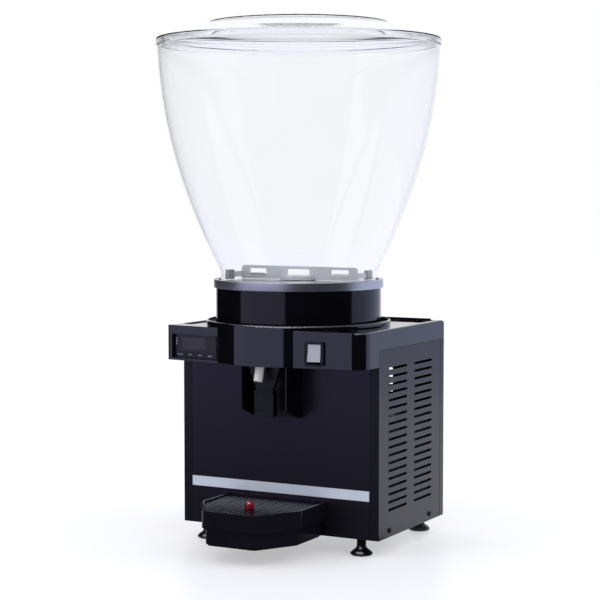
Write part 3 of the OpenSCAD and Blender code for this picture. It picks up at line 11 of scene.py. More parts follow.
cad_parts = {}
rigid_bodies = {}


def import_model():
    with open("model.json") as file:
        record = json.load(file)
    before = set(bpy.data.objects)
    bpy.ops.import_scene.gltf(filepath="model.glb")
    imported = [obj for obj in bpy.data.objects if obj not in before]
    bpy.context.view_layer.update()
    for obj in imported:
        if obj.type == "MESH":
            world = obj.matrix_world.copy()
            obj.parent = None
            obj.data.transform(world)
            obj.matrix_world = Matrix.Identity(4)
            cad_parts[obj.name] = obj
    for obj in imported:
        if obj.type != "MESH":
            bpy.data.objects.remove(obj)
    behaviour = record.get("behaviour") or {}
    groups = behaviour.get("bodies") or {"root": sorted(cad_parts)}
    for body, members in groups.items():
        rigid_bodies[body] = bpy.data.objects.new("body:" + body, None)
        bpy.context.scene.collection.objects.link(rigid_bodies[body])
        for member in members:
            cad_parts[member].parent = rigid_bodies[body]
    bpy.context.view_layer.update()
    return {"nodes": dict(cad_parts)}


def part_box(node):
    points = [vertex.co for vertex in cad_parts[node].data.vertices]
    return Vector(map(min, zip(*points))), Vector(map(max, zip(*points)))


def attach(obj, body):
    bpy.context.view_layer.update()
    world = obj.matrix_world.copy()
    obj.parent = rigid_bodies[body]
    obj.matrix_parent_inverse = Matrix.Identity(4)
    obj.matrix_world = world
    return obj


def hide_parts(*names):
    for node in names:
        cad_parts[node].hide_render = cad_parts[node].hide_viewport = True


bl_info = {
    "name": "Cold drink dispenser",
    "version": (1, 0, 0),
    "blender": (4, 5, 0),
    "location": "3D View > Sidebar > Dispenser",
    "description": "Finishes, details and studio for a countertop cold drink dispenser",
    "category": "Object",
}

for leftover in list(bpy.data.objects):
    bpy.data.objects.remove(leftover)
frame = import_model()
MM = 0.001

# Places of the cabinet, in millimetres in the part's frame: the front panel's face and its parts
FRONT_Y = -55.0
HALF_W = 145.0
REAR_Y = 149.0
BAY_TURN = math.radians(8)
DISPLAY_PLACE = (-99.5, -101.5, 262.8)
FACE_SHIFT = (-2.5, 4.5, 0.0)
SWITCH_PLACE = (81.4, -108.0, 262.7)
ROCKER_AXIS_Y = 4.0
ROCKER_TILT = math.radians(9)
ROCKER_FRONT_Y = -8.6
PAN_RIM_Z = 349.5
SEAM_Z = 264.65


def linear(code):
    """Turns an sRGB hex colour into the linear colour that Blender works in."""
    parts = [int(code[i:i + 2], 16) / 255 for i in (1, 3, 5)]
    return tuple(p / 12.92 if p <= 0.04045 else ((p + 0.055) / 1.055) ** 2.4 for p in parts)


def add(tree, kind, inputs=(), **settings):
    """Adds a node with its settings; an input is a value or the socket that feeds it."""
    made = tree.nodes.new(kind)
    for name, value in settings.items():
        setattr(made, name, value)
    for key, value in dict(inputs).items():
        if isinstance(value, bpy.types.NodeSocket):
            tree.links.new(value, made.inputs[key])
        else:
            made.inputs[key].default_value = value
    return made


# ---------------------------------------------------------------------------------------------
# Sizes and colours


class DispenserSizes(bpy.types.PropertyGroup):
    """Sizes of the details that the scene adds to the solids."""

    steps_around: IntProperty(name="Steps around", default=192, min=48, max=256,
                              description="Number of steps round the bowl and the lid")
    bowl_foot_r: FloatProperty(name="Bowl foot radius", default=0.1036, unit="LENGTH",
                               description="Radius of the bowl's straight foot")
    bowl_rim_r: FloatProperty(name="Bowl rim radius", default=0.186, unit="LENGTH",
                              description="Radius of the bowl's wall under its bead")
    bowl_wall: FloatProperty(name="Bowl wall", default=0.003, unit="LENGTH",
                             description="Thickness of the bowl's wall")
    lip_r: FloatProperty(name="Louvre lip", default=0.00025, unit="LENGTH",
                         description="Radius of the pressed lip round each louvre slot")
    screw_head_r: FloatProperty(name="Screw head", default=0.0038, unit="LENGTH",
                                description="Radius of a cabinet screw's pan head")
    rib_r: FloatProperty(name="Foot rib", default=0.0006, unit="LENGTH",
                         description="Radius of the grip ribs round a foot's disc")
    digit_h: FloatProperty(name="Digit height", default=0.0105, unit="LENGTH",
                           description="Height of the display's digits")


class DispenserColours(bpy.types.PropertyGroup):
    """Colours of the main finishes and of the studio."""

    sheet: FloatVectorProperty(name="Sheet", subtype="COLOR", default=linear("#16151d"),
                               description="Powder coat of the side and rear panels")
    gloss: FloatVectorProperty(name="Gloss black", subtype="COLOR", default=linear("#0b0a10"),
                               description="Moulded plastic of the top cover and the collar")
    matte: FloatVectorProperty(name="Matte black", subtype="COLOR", default=linear("#0c0c10"),
                               description="Moulded plastic of the tap and the lever")
    bowl: FloatVectorProperty(name="Bowl", subtype="COLOR", default=linear("#fafbfd"),
                              description="Clear plastic of the bowl and the lid")
    label: FloatVectorProperty(name="Label strip", subtype="COLOR", default=linear("#e8f0ff"),
                               description="Bare aluminium strip on the front panel")
    float_red: FloatVectorProperty(name="Float", subtype="COLOR", default=linear("#8e0a22"),
                                   description="Red float of the drip tray")
    floor: FloatVectorProperty(name="Floor", subtype="COLOR", default=linear("#dedee2"),
                               description="Pale studio floor")


def sizes():
    return bpy.context.scene.dispenser_sizes


def colour(name):
    return tuple(getattr(bpy.context.scene.dispenser_colours, name))


# ---------------------------------------------------------------------------------------------
# Finishes


def surface(name, base, rough, metal=0.0, ior=1.5, level=0.5, mottle=(60, 0.12), grain=(0.8, 0.02),
            run=(1, 1, 1), scuff=0.05, edge=0.0, clear=0.0, coat=0.0, cells=False, sheen=(1, 1, 1)):
    """A procedural finish. mottle is the size in mm and the depth of the colour's variation, grain
    the size and depth in mm of the relief, run how the grain is squeezed along X, Y and Z, scuff
    how far the roughness wanders, edge the radius in mm to which hard edges look worn, and sheen
    a tint painted onto what it reflects: painted sheen, standing in for the colour of the studio's
    light."""
    material = bpy.data.materials.new(name)
    material.use_nodes = True
    tree = material.node_tree
    shader = tree.nodes["Principled BSDF"]
    place = add(tree, "ShaderNodeTexCoord").outputs["Object"]
    squeezed = add(tree, "ShaderNodeMapping", {"Vector": place, "Scale": run}).outputs["Vector"]

    broad = add(tree, "ShaderNodeTexNoise", {"Vector": place, "Scale": 1000 / mottle[0], "Detail": 4.0})
    tone = add(tree, "ShaderNodeValToRGB", {"Fac": broad.outputs["Fac"]})
    for stop, place_on, part in zip(tone.color_ramp.elements, (0.3, 0.7), (-1, 1)):
        stop.position = place_on
        stop.color = tuple(min(1.0, c * (1 + part * mottle[1])) for c in base[:3]) + (1.0,)
    tree.links.new(tone.outputs["Color"], shader.inputs["Base Color"])

    fine_kind = "ShaderNodeTexVoronoi" if cells else "ShaderNodeTexNoise"
    fine = add(tree, fine_kind, {"Vector": squeezed, "Scale": 1000 / grain[0]})
    height = fine.outputs["Distance" if cells else "Fac"]
    if not cells:
        fine.inputs["Detail"].default_value = 3.0
    wander = add(tree, "ShaderNodeTexNoise", {
        "Vector": squeezed, "Scale": 300 / grain[0], "Detail": 5.0})
    rough_here = add(tree, "ShaderNodeMapRange", {
        "Value": wander.outputs["Fac"], "From Min": 0.3, "From Max": 0.7,
        "To Min": max(0.0, rough - scuff), "To Max": min(1.0, rough + scuff)})
    tree.links.new(rough_here.outputs["Result"], shader.inputs["Roughness"])

    relief = add(tree, "ShaderNodeBump", {"Strength": 1.0, "Distance": grain[1] * MM, "Height": height})
    if edge:
        rounded = add(tree, "ShaderNodeBevel", {"Radius": edge * MM}, samples=4)
        tree.links.new(rounded.outputs["Normal"], relief.inputs["Normal"])
    tree.links.new(relief.outputs["Normal"], shader.inputs["Normal"])

    shader.inputs["Metallic"].default_value = metal
    if not metal:
        shader.inputs["IOR"].default_value = ior
        shader.inputs["Specular IOR Level"].default_value = level
        shader.inputs["Specular Tint"].default_value = tuple(sheen) + (1.0,)
    shader.inputs["Transmission Weight"].default_value = clear
    shader.inputs["Coat Weight"].default_value = coat
    return material


def make_finishes():
    """Every finish of the dispenser, by a short name that the pieces use."""
    steel = linear("#b6b7bd")
    zinc = linear("#9da0a4")
    # Painted sheen: a purple-blue tint laid on the reflections of the dark finishes, for the colour of
    # the studio's light
    painted_violet_sheen = (0.84, 0.85, 1.0)
    return {
        # Steel sheet, powder coated: satin, with the faint orange peel of the baked powder
        "sheet": surface("powder_coated_steel_satin", colour("sheet"), 0.3, level=0.36,
                         mottle=(90, 0.1), grain=(1.4, 0.002), scuff=0.02, edge=0.4, sheen=painted_violet_sheen),
        # The front sheet is the same powder coat in a copy of its own, with a stronger purple-blue
        # reflection: painted sheen for the studio light that falls on the front
        "front": surface("powder_coated_steel_front", linear("#131216"), 0.3, level=0.72,
                         mottle=(90, 0.1), grain=(1.4, 0.002), scuff=0.02, edge=0.4,
                         sheen=(0.75, 0.68, 1.0)),
        # ABS, moulded in a polished tool: deep gloss with a slow waviness in its reflections
        "gloss": surface("abs_moulded_gloss_black", colour("gloss"), 0.09, level=0.45,
                         mottle=(70, 0.15), grain=(26, 0.015), scuff=0.02, edge=0.5, sheen=painted_violet_sheen),
        # The cover's ABS, moulded in a mirror-polished tool: the clearest reflections of all
        "cover": surface("abs_moulded_cover_black", colour("gloss"), 0.07, level=0.8,
                         mottle=(90, 0.15), grain=(30, 0.012), scuff=0.02, edge=0.5, sheen=painted_violet_sheen),
        # ABS, moulded in a spark-eroded tool: a fine even grain that softens the highlights
        "matte": surface("abs_moulded_matte_black", colour("matte"), 0.32, level=0.45,
                         mottle=(40, 0.15), grain=(0.7, 0.008), scuff=0.05, edge=0.4, sheen=painted_violet_sheen),
        # ABS of the tray, moulded in a lapped tool: satin, with long soft streaks of light
        "satin": surface("abs_moulded_satin_black", linear("#131219"), 0.13, level=0.45,
                         mottle=(60, 0.12), grain=(14, 0.008), scuff=0.03, edge=0.4, sheen=painted_violet_sheen),
        # Polypropylene grille, moulded: deep black and a little waxy, so that its holes read dark
        "grate": surface("polypropylene_grille_black", linear("#060608"), 0.24, level=0.16,
                         mottle=(30, 0.15), grain=(0.8, 0.006), scuff=0.05, edge=0.3),
        # Stainless steel, spun and polished: bright, with rings left by the tool round the axis
        "spun": turned_steel("stainless_steel_spun", steel, 0.2, 1.0),
        # The pan's rolled rim: the same steel, left satin where the roller closed it
        "rolled": turned_steel("stainless_steel_rolled", linear("#bfc0ca"), 0.34, 0.96),
        # Stainless steel, bead blasted: pale and even, it scatters the light of the bowl
        "blasted": surface("stainless_steel_bead_blasted", linear("#d6d8de"), 0.5, metal=0.4,
                           mottle=(8, 0.05), grain=(0.3, 0.006), scuff=0.05, edge=0.2),
        # Stainless steel, brushed along the plate: fine lines along X that stretch the highlights
        "brushed": surface("stainless_steel_brushed", steel, 0.3, metal=1.0, mottle=(30, 0.06),
                           grain=(0.5, 0.004), run=(0.05, 1, 1), scuff=0.08, edge=0.2),
        # Steel, zinc plated: pale blue-grey with cloudy patches from the bath
        "zinc": surface("zinc_plated_steel", zinc, 0.38, metal=1.0, mottle=(9, 0.18),
                        grain=(2.5, 0.01), scuff=0.1),
        # Steel, black oxide: dark and oily, paler where the drive has rubbed it
        "oxide": surface("black_oxide_steel", linear("#2a2a2f"), 0.4, metal=1.0, mottle=(3, 0.4),
                         grain=(0.6, 0.01), scuff=0.12),
        # Aluminium strip, brushed and anodised: silver-blue, bare, with lines along its length
        "label": surface("anodised_aluminium_brushed", colour("label"), 0.34, metal=0.12, level=0.6,
                         mottle=(50, 0.05), grain=(0.6, 0.004), run=(0.04, 1, 1), scuff=0.06),
        # Polycarbonate, blow moulded and clear: nearly unseen, with the faintest haze in its wall
        "clear": surface("polycarbonate_moulded_clear", colour("bowl"), 0.012, ior=1.28, level=0.5,
                         mottle=(120, 0.004), grain=(90, 0.002), scuff=0.008, clear=1.0),
        # Silicone, pressed: milky white with a soft sheen
        "seal": surface("silicone_pressed_white", linear("#d3d3d0"), 0.5, mottle=(12, 0.06),
                        grain=(1.2, 0.02), scuff=0.08),
        # Nitrile rubber, moulded: dull black with a dusty bloom
        "rubber": surface("nitrile_rubber_moulded", linear("#1b1b1e"), 0.6, mottle=(6, 0.25),
                          grain=(0.6, 0.02), scuff=0.1),
        # Silicone wipers, moulded: mid grey and soft, pale where the bowl's light comes through
        "wiper": surface("silicone_wiper_moulded_grey", linear("#6c6f78"), 0.45, mottle=(12, 0.1),
                         grain=(0.9, 0.01), scuff=0.06, edge=0.3),
        # Polyamide feet, moulded: black and lightly grained, scuffed on the disc
        "foot": surface("polyamide_moulded_black", linear("#0a0a0d"), 0.2, mottle=(8, 0.3),
                        grain=(0.6, 0.015), scuff=0.12, edge=0.4),
        # Copper tube, drawn: warm, browned in patches by handling and heat
        "copper": surface("copper_tube_drawn", linear("#b06a3e"), 0.32, metal=1.0, mottle=(14, 0.28),
                          grain=(1.5, 0.01), scuff=0.12),
        # Polyurethane foam, blown in place: cream, with the cells of its skin
        "foam": surface("polyurethane_foam_blown", linear("#cfc7a2"), 0.85, mottle=(18, 0.12),
                        grain=(1.6, 0.25), scuff=0.08, cells=True),
        # Ferrite magnets, sintered: charcoal and slightly granular
        "ferrite": surface("ferrite_sintered", linear("#3a3b40"), 0.55, metal=0.4, mottle=(2, 0.2),
                           grain=(0.4, 0.02), scuff=0.1),
        # Aluminium, die cast or stamped: pale grey, softly speckled
        "aluminium": surface("aluminium_stamped", linear("#c0c2c6"), 0.36, metal=1.0, mottle=(4, 0.1),
                             grain=(0.9, 0.01), scuff=0.1),
        # Silicone tube, extruded: white and waxy, with drawing lines along it
        "tube": surface("silicone_tube_extruded", linear("#e4e3e0"), 0.35, mottle=(8, 0.05),
                        grain=(0.6, 0.01), run=(1, 1, 0.06), scuff=0.05),
        # Acrylic window, cast: smoke grey and glossy over the unlit digits
        "window": surface("acrylic_window_cast", linear("#15151c"), 0.08, mottle=(30, 0.1),
                          grain=(18, 0.01), scuff=0.02, coat=0.3),
        # Polycarbonate face film, screen printed: dark grey with a fine tooth
        "film": surface("polycarbonate_film_printed", linear("#16151d"), 0.2, mottle=(25, 0.1),
                        grain=(0.5, 0.004), scuff=0.04, edge=0.3, sheen=painted_violet_sheen),
        # White ink, screen printed: slightly broken at its edges
        "ink": surface("screen_ink_white", linear("#a9abb8"), 0.5, mottle=(1.5, 0.15),
                       grain=(0.4, 0.01)),
        # Unlit segments: a shade paler than the window that covers them
        "segment": surface("led_segment_unlit", linear("#34333e"), 0.35, mottle=(3, 0.15),
                           grain=(0.5, 0.004)),
        # Polycarbonate rocker, moulded and glossy: its pale grey is partly its own colour and partly
        # painted highlight for the softbox it catches
        "rocker": surface("polycarbonate_rocker_moulded", linear("#b4b4c0"), 0.12, mottle=(12, 0.12),
                          grain=(0.8, 0.005), scuff=0.05, edge=0.4),
        # Acrylic float, moulded red: bright, with a wet-looking gloss
        "float": surface("acrylic_float_red", colour("float_red"), 0.14, mottle=(5, 0.15),
                         grain=(4, 0.01), scuff=0.03, coat=0.4),
        # Compressor shell, dip painted: black enamel with runs and a low gloss
        "enamel": surface("compressor_enamel_dipped", linear("#101114"), 0.28, mottle=(25, 0.2),
                          grain=(9, 0.06), scuff=0.1),
        # Wire insulation, extruded PVC: dark and a little dull
        "wire": surface("pvc_insulation_extruded", linear("#26262b"), 0.45, mottle=(10, 0.2),
                        grain=(1.0, 0.01)),
        # Terminal block, moulded polyamide: cream, slightly translucent in look
        "terminal": surface("polyamide_terminal_cream", linear("#d8d2bd"), 0.45, mottle=(9, 0.08),
                            grain=(0.7, 0.01)),
    }


def turned_steel(name, base, rough, metal):
    """Spun stainless steel: rings about the bowl's axis, drawn at 1.1 mm so that they show."""
    material = surface(name, base, rough, metal=metal, mottle=(40, 0.05), grain=(0.9, 0.003), edge=0.4)
    tree = material.node_tree
    shader = tree.nodes["Principled BSDF"]
    place = add(tree, "ShaderNodeTexCoord").outputs["Object"]
    ring_step = 1.1 * MM
    rings = add(tree, "ShaderNodeTexWave", {
        "Vector": place, "Scale": 2 * math.pi / (20 * ring_step), "Distortion": 1.5, "Detail": 2.0},
        wave_type="RINGS", rings_direction="Z")
    relief = add(tree, "ShaderNodeBump", {
        "Strength": 1.0, "Distance": 0.002 * MM, "Height": rings.outputs["Fac"],
        "Normal": shader.inputs["Normal"].links[0].from_socket})
    tree.links.new(relief.outputs["Normal"], shader.inputs["Normal"])
    return material


# The finish of every solid that keeps its own shape
CARRIED = {
    "front": ["front_panel"],
    "sheet": ["side_panel_left", "side_panel_right", "rear_panel"],
    "gloss": ["collar"],
    "cover": ["top_cover"],
    "matte": ["tap_housing", "tap_lever", "power_switch",
              "relay_box", "mains_inlet", "fan_shroud"],
    "satin": ["tray_holder", "drip_tray"],
    "grate": ["drip_grille"],
    "spun": ["evaporator_pan"],
    "blasted": ["mixing_paddle"],
    "brushed": ["lever_pin", "lever_spring"],
    "zinc": ["base_plate", "foot_nuts", "motor_bracket", "mixer_motor"],
    "oxide": ["cabinet_screws", "compressor_mount", "drive_magnet"],
    "label": ["label_strip"],
    "clear": ["bowl", "lid"],
    "seal": ["bowl_seal"],
    "rubber": ["grommets"],
    "wiper": ["wiper_blades"],
    "foot": ["foot_front_left", "foot_front_right", "foot_rear_left", "foot_rear_right"],
    "copper": ["cooling_coil", "condenser_coil", "filter_drier", "refrigerant_pipes"],
    "foam": ["insulation"],
    "ferrite": ["paddle_magnets"],
    "aluminium": ["condenser_fins", "fan_blades", "fan_motor"],
    "tube": ["spout_tube"],
    "window": ["display_window"],
    "film": ["controller", "key_set", "key_down", "key_up", "key_light"],
    "rocker": ["rocker"],
    "float": ["level_float"],
    "enamel": ["compressor"],
    "wire": ["wiring"],
    "terminal": ["terminal_block"],
}
FINISHES = {}


def finish(name):
    if not FINISHES:
        FINISHES.update(make_finishes())
    return FINISHES[name]


# ---------------------------------------------------------------------------------------------
# Forms


def form_tree(name, inputs):
    """A Geometry Nodes tree with named inputs, and the sockets that they arrive on."""
    tree = bpy.data.node_groups.new(name, "GeometryNodeTree")
    for label, kind in [("Base", "Geometry")] + inputs + [("Finish", "Material")]:
        tree.interface.new_socket(label, in_out="INPUT", socket_type="NodeSocket" + kind)
    tree.interface.new_socket("Form", in_out="OUTPUT", socket_type="NodeSocketGeometry")
    return tree, tree.nodes.new("NodeGroupInput").outputs


def close_tree(tree, entry, geometry):
    """Ends a tree: its instances become real and take their finish."""
    real = add(tree, "GeometryNodeRealizeInstances", {"Geometry": geometry})
    dressed = add(tree, "GeometryNodeSetMaterial", {
        "Geometry": real.outputs["Geometry"], "Material": entry["Finish"]})
    add(tree, "NodeGroupOutput", {"Form": dressed.outputs["Geometry"]})
    return tree


def turned_tree():
    """Turns a closed outline, given as points with radius X and height Z, about the Z axis."""
    tree, entry = form_tree("Turned form", [("Steps Around", "Int")])
    size = add(tree, "GeometryNodeAttributeDomainSize", {"Geometry": entry["Base"]})
    count = size.outputs["Point Count"]
    across = add(tree, "ShaderNodeMath", {0: entry["Steps Around"], 1: 1.0}, operation="ADD").outputs[0]
    grid = add(tree, "GeometryNodeMeshGrid", {"Vertices X": count, "Vertices Y": across})
    index = add(tree, "GeometryNodeInputIndex").outputs[0]
    row = add(tree, "ShaderNodeMath", {
        0: add(tree, "ShaderNodeMath", {0: index, 1: across}, operation="DIVIDE").outputs[0]},
        operation="FLOOR").outputs[0]
    column = add(tree, "ShaderNodeMath", {0: index, 1: across}, operation="MODULO").outputs[0]
    share = add(tree, "ShaderNodeMath", {0: column, 1: entry["Steps Around"]},
                operation="DIVIDE").outputs[0]
    angle = add(tree, "ShaderNodeMath", {0: share, 1: 2 * math.pi}, operation="MULTIPLY").outputs[0]
    point = add(tree, "GeometryNodeSampleIndex", {"Geometry": entry["Base"], "Index": row},
                data_type="FLOAT_VECTOR")
    tree.links.new(add(tree, "GeometryNodeInputPosition").outputs[0], point.inputs["Value"])
    parts = add(tree, "ShaderNodeSeparateXYZ", {0: point.outputs["Value"]}).outputs
    sine = add(tree, "ShaderNodeMath", {0: angle}, operation="SINE").outputs[0]
    cosine = add(tree, "ShaderNodeMath", {0: angle}, operation="COSINE").outputs[0]
    place = add(tree, "ShaderNodeCombineXYZ", {
        "X": add(tree, "ShaderNodeMath", {0: parts["X"], 1: cosine}, operation="MULTIPLY").outputs[0],
        "Y": add(tree, "ShaderNodeMath", {0: parts["X"], 1: sine}, operation="MULTIPLY").outputs[0],
        "Z": parts["Z"]}).outputs[0]
    bent = add(tree, "GeometryNodeSetPosition", {"Geometry": grid.outputs["Mesh"], "Position": place})
    joined = add(tree, "GeometryNodeMergeByDistance", {
        "Geometry": bent.outputs[0], "Distance": 0.002 * MM})
    return close_tree(tree, entry, joined.outputs[0])


def placed_tree(name, inputs, build):
    """Sets one small form, made by build, on every place of the base, each with its own turn."""
    tree, entry = form_tree(name, inputs)
    turn = add(tree, "GeometryNodeInputNamedAttribute", {"Name": "turn"}, data_type="FLOAT_VECTOR")
    stands = add(tree, "FunctionNodeEulerToRotation", {"Euler": turn.outputs["Attribute"]})
    placed = add(tree, "GeometryNodeInstanceOnPoints", {
        "Points": entry["Base"], "Instance": build(tree, entry), "Rotation": stands.outputs[0]})
    return close_tree(tree, entry, placed.outputs[0])


def screw_form(tree, entry):
    """A pan head with a cross recess on a plain shank, its seat at Z = 0."""
    radius = entry["Head Radius"]
    crown = add(tree, "ShaderNodeMath", {0: radius, 1: 0.72}, operation="MULTIPLY").outputs[0]
    head = add(tree, "GeometryNodeMeshCone", {
        "Vertices": 28, "Radius Top": crown, "Radius Bottom": radius, "Depth": 1.9 * MM})
    cutters = add(tree, "GeometryNodeJoinGeometry")
    for turn in (0, 90):
        arm = add(tree, "GeometryNodeMeshCube", {"Size": (4.2 * MM, 0.9 * MM, 2.4 * MM)})
        moved = add(tree, "GeometryNodeTransform", {
            "Geometry": arm.outputs["Mesh"], "Translation": (0, 0, 2.1 * MM),
            "Rotation": (0, 0, math.radians(turn))})
        tree.links.new(moved.outputs[0], cutters.inputs[0])
    recessed = add(tree, "GeometryNodeMeshBoolean", {
        "Mesh 1": head.outputs["Mesh"], "Mesh 2": cutters.outputs[0], "Self Intersection": True},
        operation="DIFFERENCE", solver="EXACT")
    shank = add(tree, "GeometryNodeMeshCylinder", {"Vertices": 16, "Radius": 2 * MM, "Depth": 6.5 * MM})
    lowered = add(tree, "GeometryNodeTransform", {
        "Geometry": shank.outputs["Mesh"], "Translation": (0, 0, -3.2 * MM)})
    whole = add(tree, "GeometryNodeJoinGeometry")
    for part in (recessed.outputs["Mesh"], lowered.outputs[0]):
        tree.links.new(part, whole.inputs[0])
    return whole.outputs[0]


def lip_form(tree, entry):
    """The rounded lip that the punch leaves round a slot, lying in the XY plane."""
    both = add(tree, "ShaderNodeMath", {0: entry["Lip Radius"], 1: 2.0}, operation="MULTIPLY").outputs[0]
    length = add(tree, "ShaderNodeMath", {0: entry["Length"], 1: both}).outputs[0]
    height = add(tree, "ShaderNodeMath", {0: entry["Height"], 1: both}).outputs[0]
    slot = add(tree, "GeometryNodeCurvePrimitiveQuadrilateral", {"Width": length, "Height": height})
    half = add(tree, "ShaderNodeMath", {0: height, 1: 0.499}, operation="MULTIPLY").outputs[0]
    round_slot = add(tree, "GeometryNodeFilletCurve", {
        "Curve": slot.outputs[0], "Count": 5, "Radius": half}, mode="POLY")
    wire = add(tree, "GeometryNodeCurvePrimitiveCircle", {
        "Resolution": 6, "Radius": entry["Lip Radius"]})
    return add(tree, "GeometryNodeCurveToMesh", {
        "Curve": round_slot.outputs[0], "Profile Curve": wire.outputs[0]}).outputs[0]


def segment_form(tree, entry):
    """A flat six-sided bar along X, as in a seven-segment digit."""
    plate = add(tree, "GeometryNodeMeshCylinder", {"Vertices": 6, "Radius": 1.0, "Depth": 0.12 * MM})
    return add(tree, "GeometryNodeTransform", {
        "Geometry": plate.outputs["Mesh"], "Scale": entry["Half Size"]}).outputs[0]


def block_form(tree, entry):
    return add(tree, "GeometryNodeMeshCube", {"Size": entry["Size"]}).outputs["Mesh"]


def rib_form(tree, entry):
    return add(tree, "GeometryNodeMeshCylinder", {
        "Vertices": 10, "Radius": entry["Rib Radius"], "Depth": entry["Rib Height"]}).outputs["Mesh"]


TREES = {}
RECIPES = {
    "turned": turned_tree,
    "screws": lambda: placed_tree("Recessed screws", [("Head Radius", "Float")], screw_form),
    "lips": lambda: placed_tree(
        "Louvre lips", [("Length", "Float"), ("Height", "Float"), ("Lip Radius", "Float")], lip_form),
    "segments": lambda: placed_tree("Digit segments", [("Half Size", "Vector")], segment_form),
    "blocks": lambda: placed_tree("Placed blocks", [("Size", "Vector")], block_form),
    "ribs": lambda: placed_tree(
        "Grip ribs", [("Rib Radius", "Float"), ("Rib Height", "Float")], rib_form),
}


def grow(name, recipe, base, inputs, look, turn_out=False, sharp=35):
    """Runs a tree on a base mesh and returns its result as an object with a plain mesh."""
    if recipe not in TREES:
        TREES[recipe] = RECIPES[recipe]()
    tree = TREES[recipe]
    piece = bpy.data.objects.new(name, base)
    bpy.context.scene.collection.objects.link(piece)
    modifier = piece.modifiers.new(tree.name, "NODES")
    modifier.node_group = tree
    given = dict(inputs, Finish=finish(look))
    for socket in tree.interface.items_tree:
        if socket.in_out == "INPUT" and socket.name in given:
            modifier[socket.identifier] = given[socket.name]
    state = bpy.context.evaluated_depsgraph_get()
    mesh = bpy.data.meshes.new_from_object(piece.evaluated_get(state))
    piece.modifiers.remove(modifier)
    piece.data = mesh
    mesh.name = name
    if turn_out:
        outwards(mesh)
    shade(mesh, sharp)
    return piece


def outwards(mesh):
    """Turns every face of a closed form outwards."""
    form = bmesh.new()
    form.from_mesh(mesh)
    bmesh.ops.remove_doubles(form, verts=form.verts, dist=0.001 * MM)
    bmesh.ops.recalc_face_normals(form, faces=form.faces)
    if form.calc_volume(signed=True) < 0:
        bmesh.ops.reverse_faces(form, faces=form.faces)
    form.to_mesh(mesh)
    form.free()


def shade(mesh, sharp):
    """Smooth shading that leaves edges sharper than an angle crisp."""
    mesh.polygons.foreach_set("use_smooth", [True] * len(mesh.polygons))
    mesh.set_sharp_from_angle(angle=math.radians(sharp))


def ride(piece, body, replaced=()):
    """Ties a finished piece to its body and the solids that it stands for."""
    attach(piece, body)
    if replaced:
        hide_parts(*replaced)
    return piece


def places_mesh(name, places):
    """A mesh of loose points in millimetres, each with the turn of what stands on it."""
    mesh = bpy.data.meshes.new(name)
    mesh.from_pydata([Vector(point) * MM for point, turn in places], [], [])
    turns = mesh.attributes.new("turn", "FLOAT_VECTOR", "POINT")
    for item, (point, turn) in zip(turns.data, places):
        item.vector = turn
    return mesh


def outline_mesh(name, points):
    """A closed outline as a mesh of points, its first point repeated at its end."""
    mesh = bpy.data.meshes.new(name)
    mesh.from_pydata([(r, 0.0, z) for r, z in points + points[:1]], [], [])
    return mesh


def rounded(points, radius, steps=4, least=35):
    """Rounds the corners of a closed outline that turn by more than least degrees."""
    result = []
    for i, corner in enumerate(points):
        corner = Vector(corner)
        before = Vector(points[i - 1]) - corner
        after = Vector(points[(i + 1) % len(points)]) - corner
        turn = 180 - math.degrees(before.angle(after))
        if turn < least or corner.x == 0:
            result.append(tuple(corner))
            continue
        reach = min(radius * math.tan(math.radians(turn / 2)), before.length * 0.45, after.length * 0.45)
        start, end = corner + before.normalized() * reach, corner + after.normalized() * reach
        for k in range(steps + 1):
            t = k / steps
            result.append(tuple((1 - t) ** 2 * start + 2 * t * (1 - t) * corner + t * t * end))
    return result


def bezier(a, b, c, d, t):
    return a * (1 - t) ** 3 + 3 * b * t * (1 - t) ** 2 + 3 * c * t * t * (1 - t) + d * t ** 3


def turn_about_z(point, turn):
    """A frame in metres at a point in millimetres, turned about Z."""
    return Matrix.Translation(Vector(point) * MM) @ Matrix.Rotation(turn, 4, "Z")


# ---------------------------------------------------------------------------------------------
# Pieces


class DISPENSER_OT_finishes(bpy.types.Operator):
    """Gives every solid of the dispenser its finish"""

    bl_idname = "dispenser.finishes"
    bl_label = "Finishes"

    def execute(self, context):
        left = set(frame["nodes"])
        for look, nodes in CARRIED.items():
            for node in nodes:
                solid = frame["nodes"][node]
                for slot in solid.material_slots:
                    slot.material = finish(look)
                left.discard(node)
        if left:
            raise RuntimeError(f"these solids have no finish: {sorted(left)}")
        return {"FINISHED"}


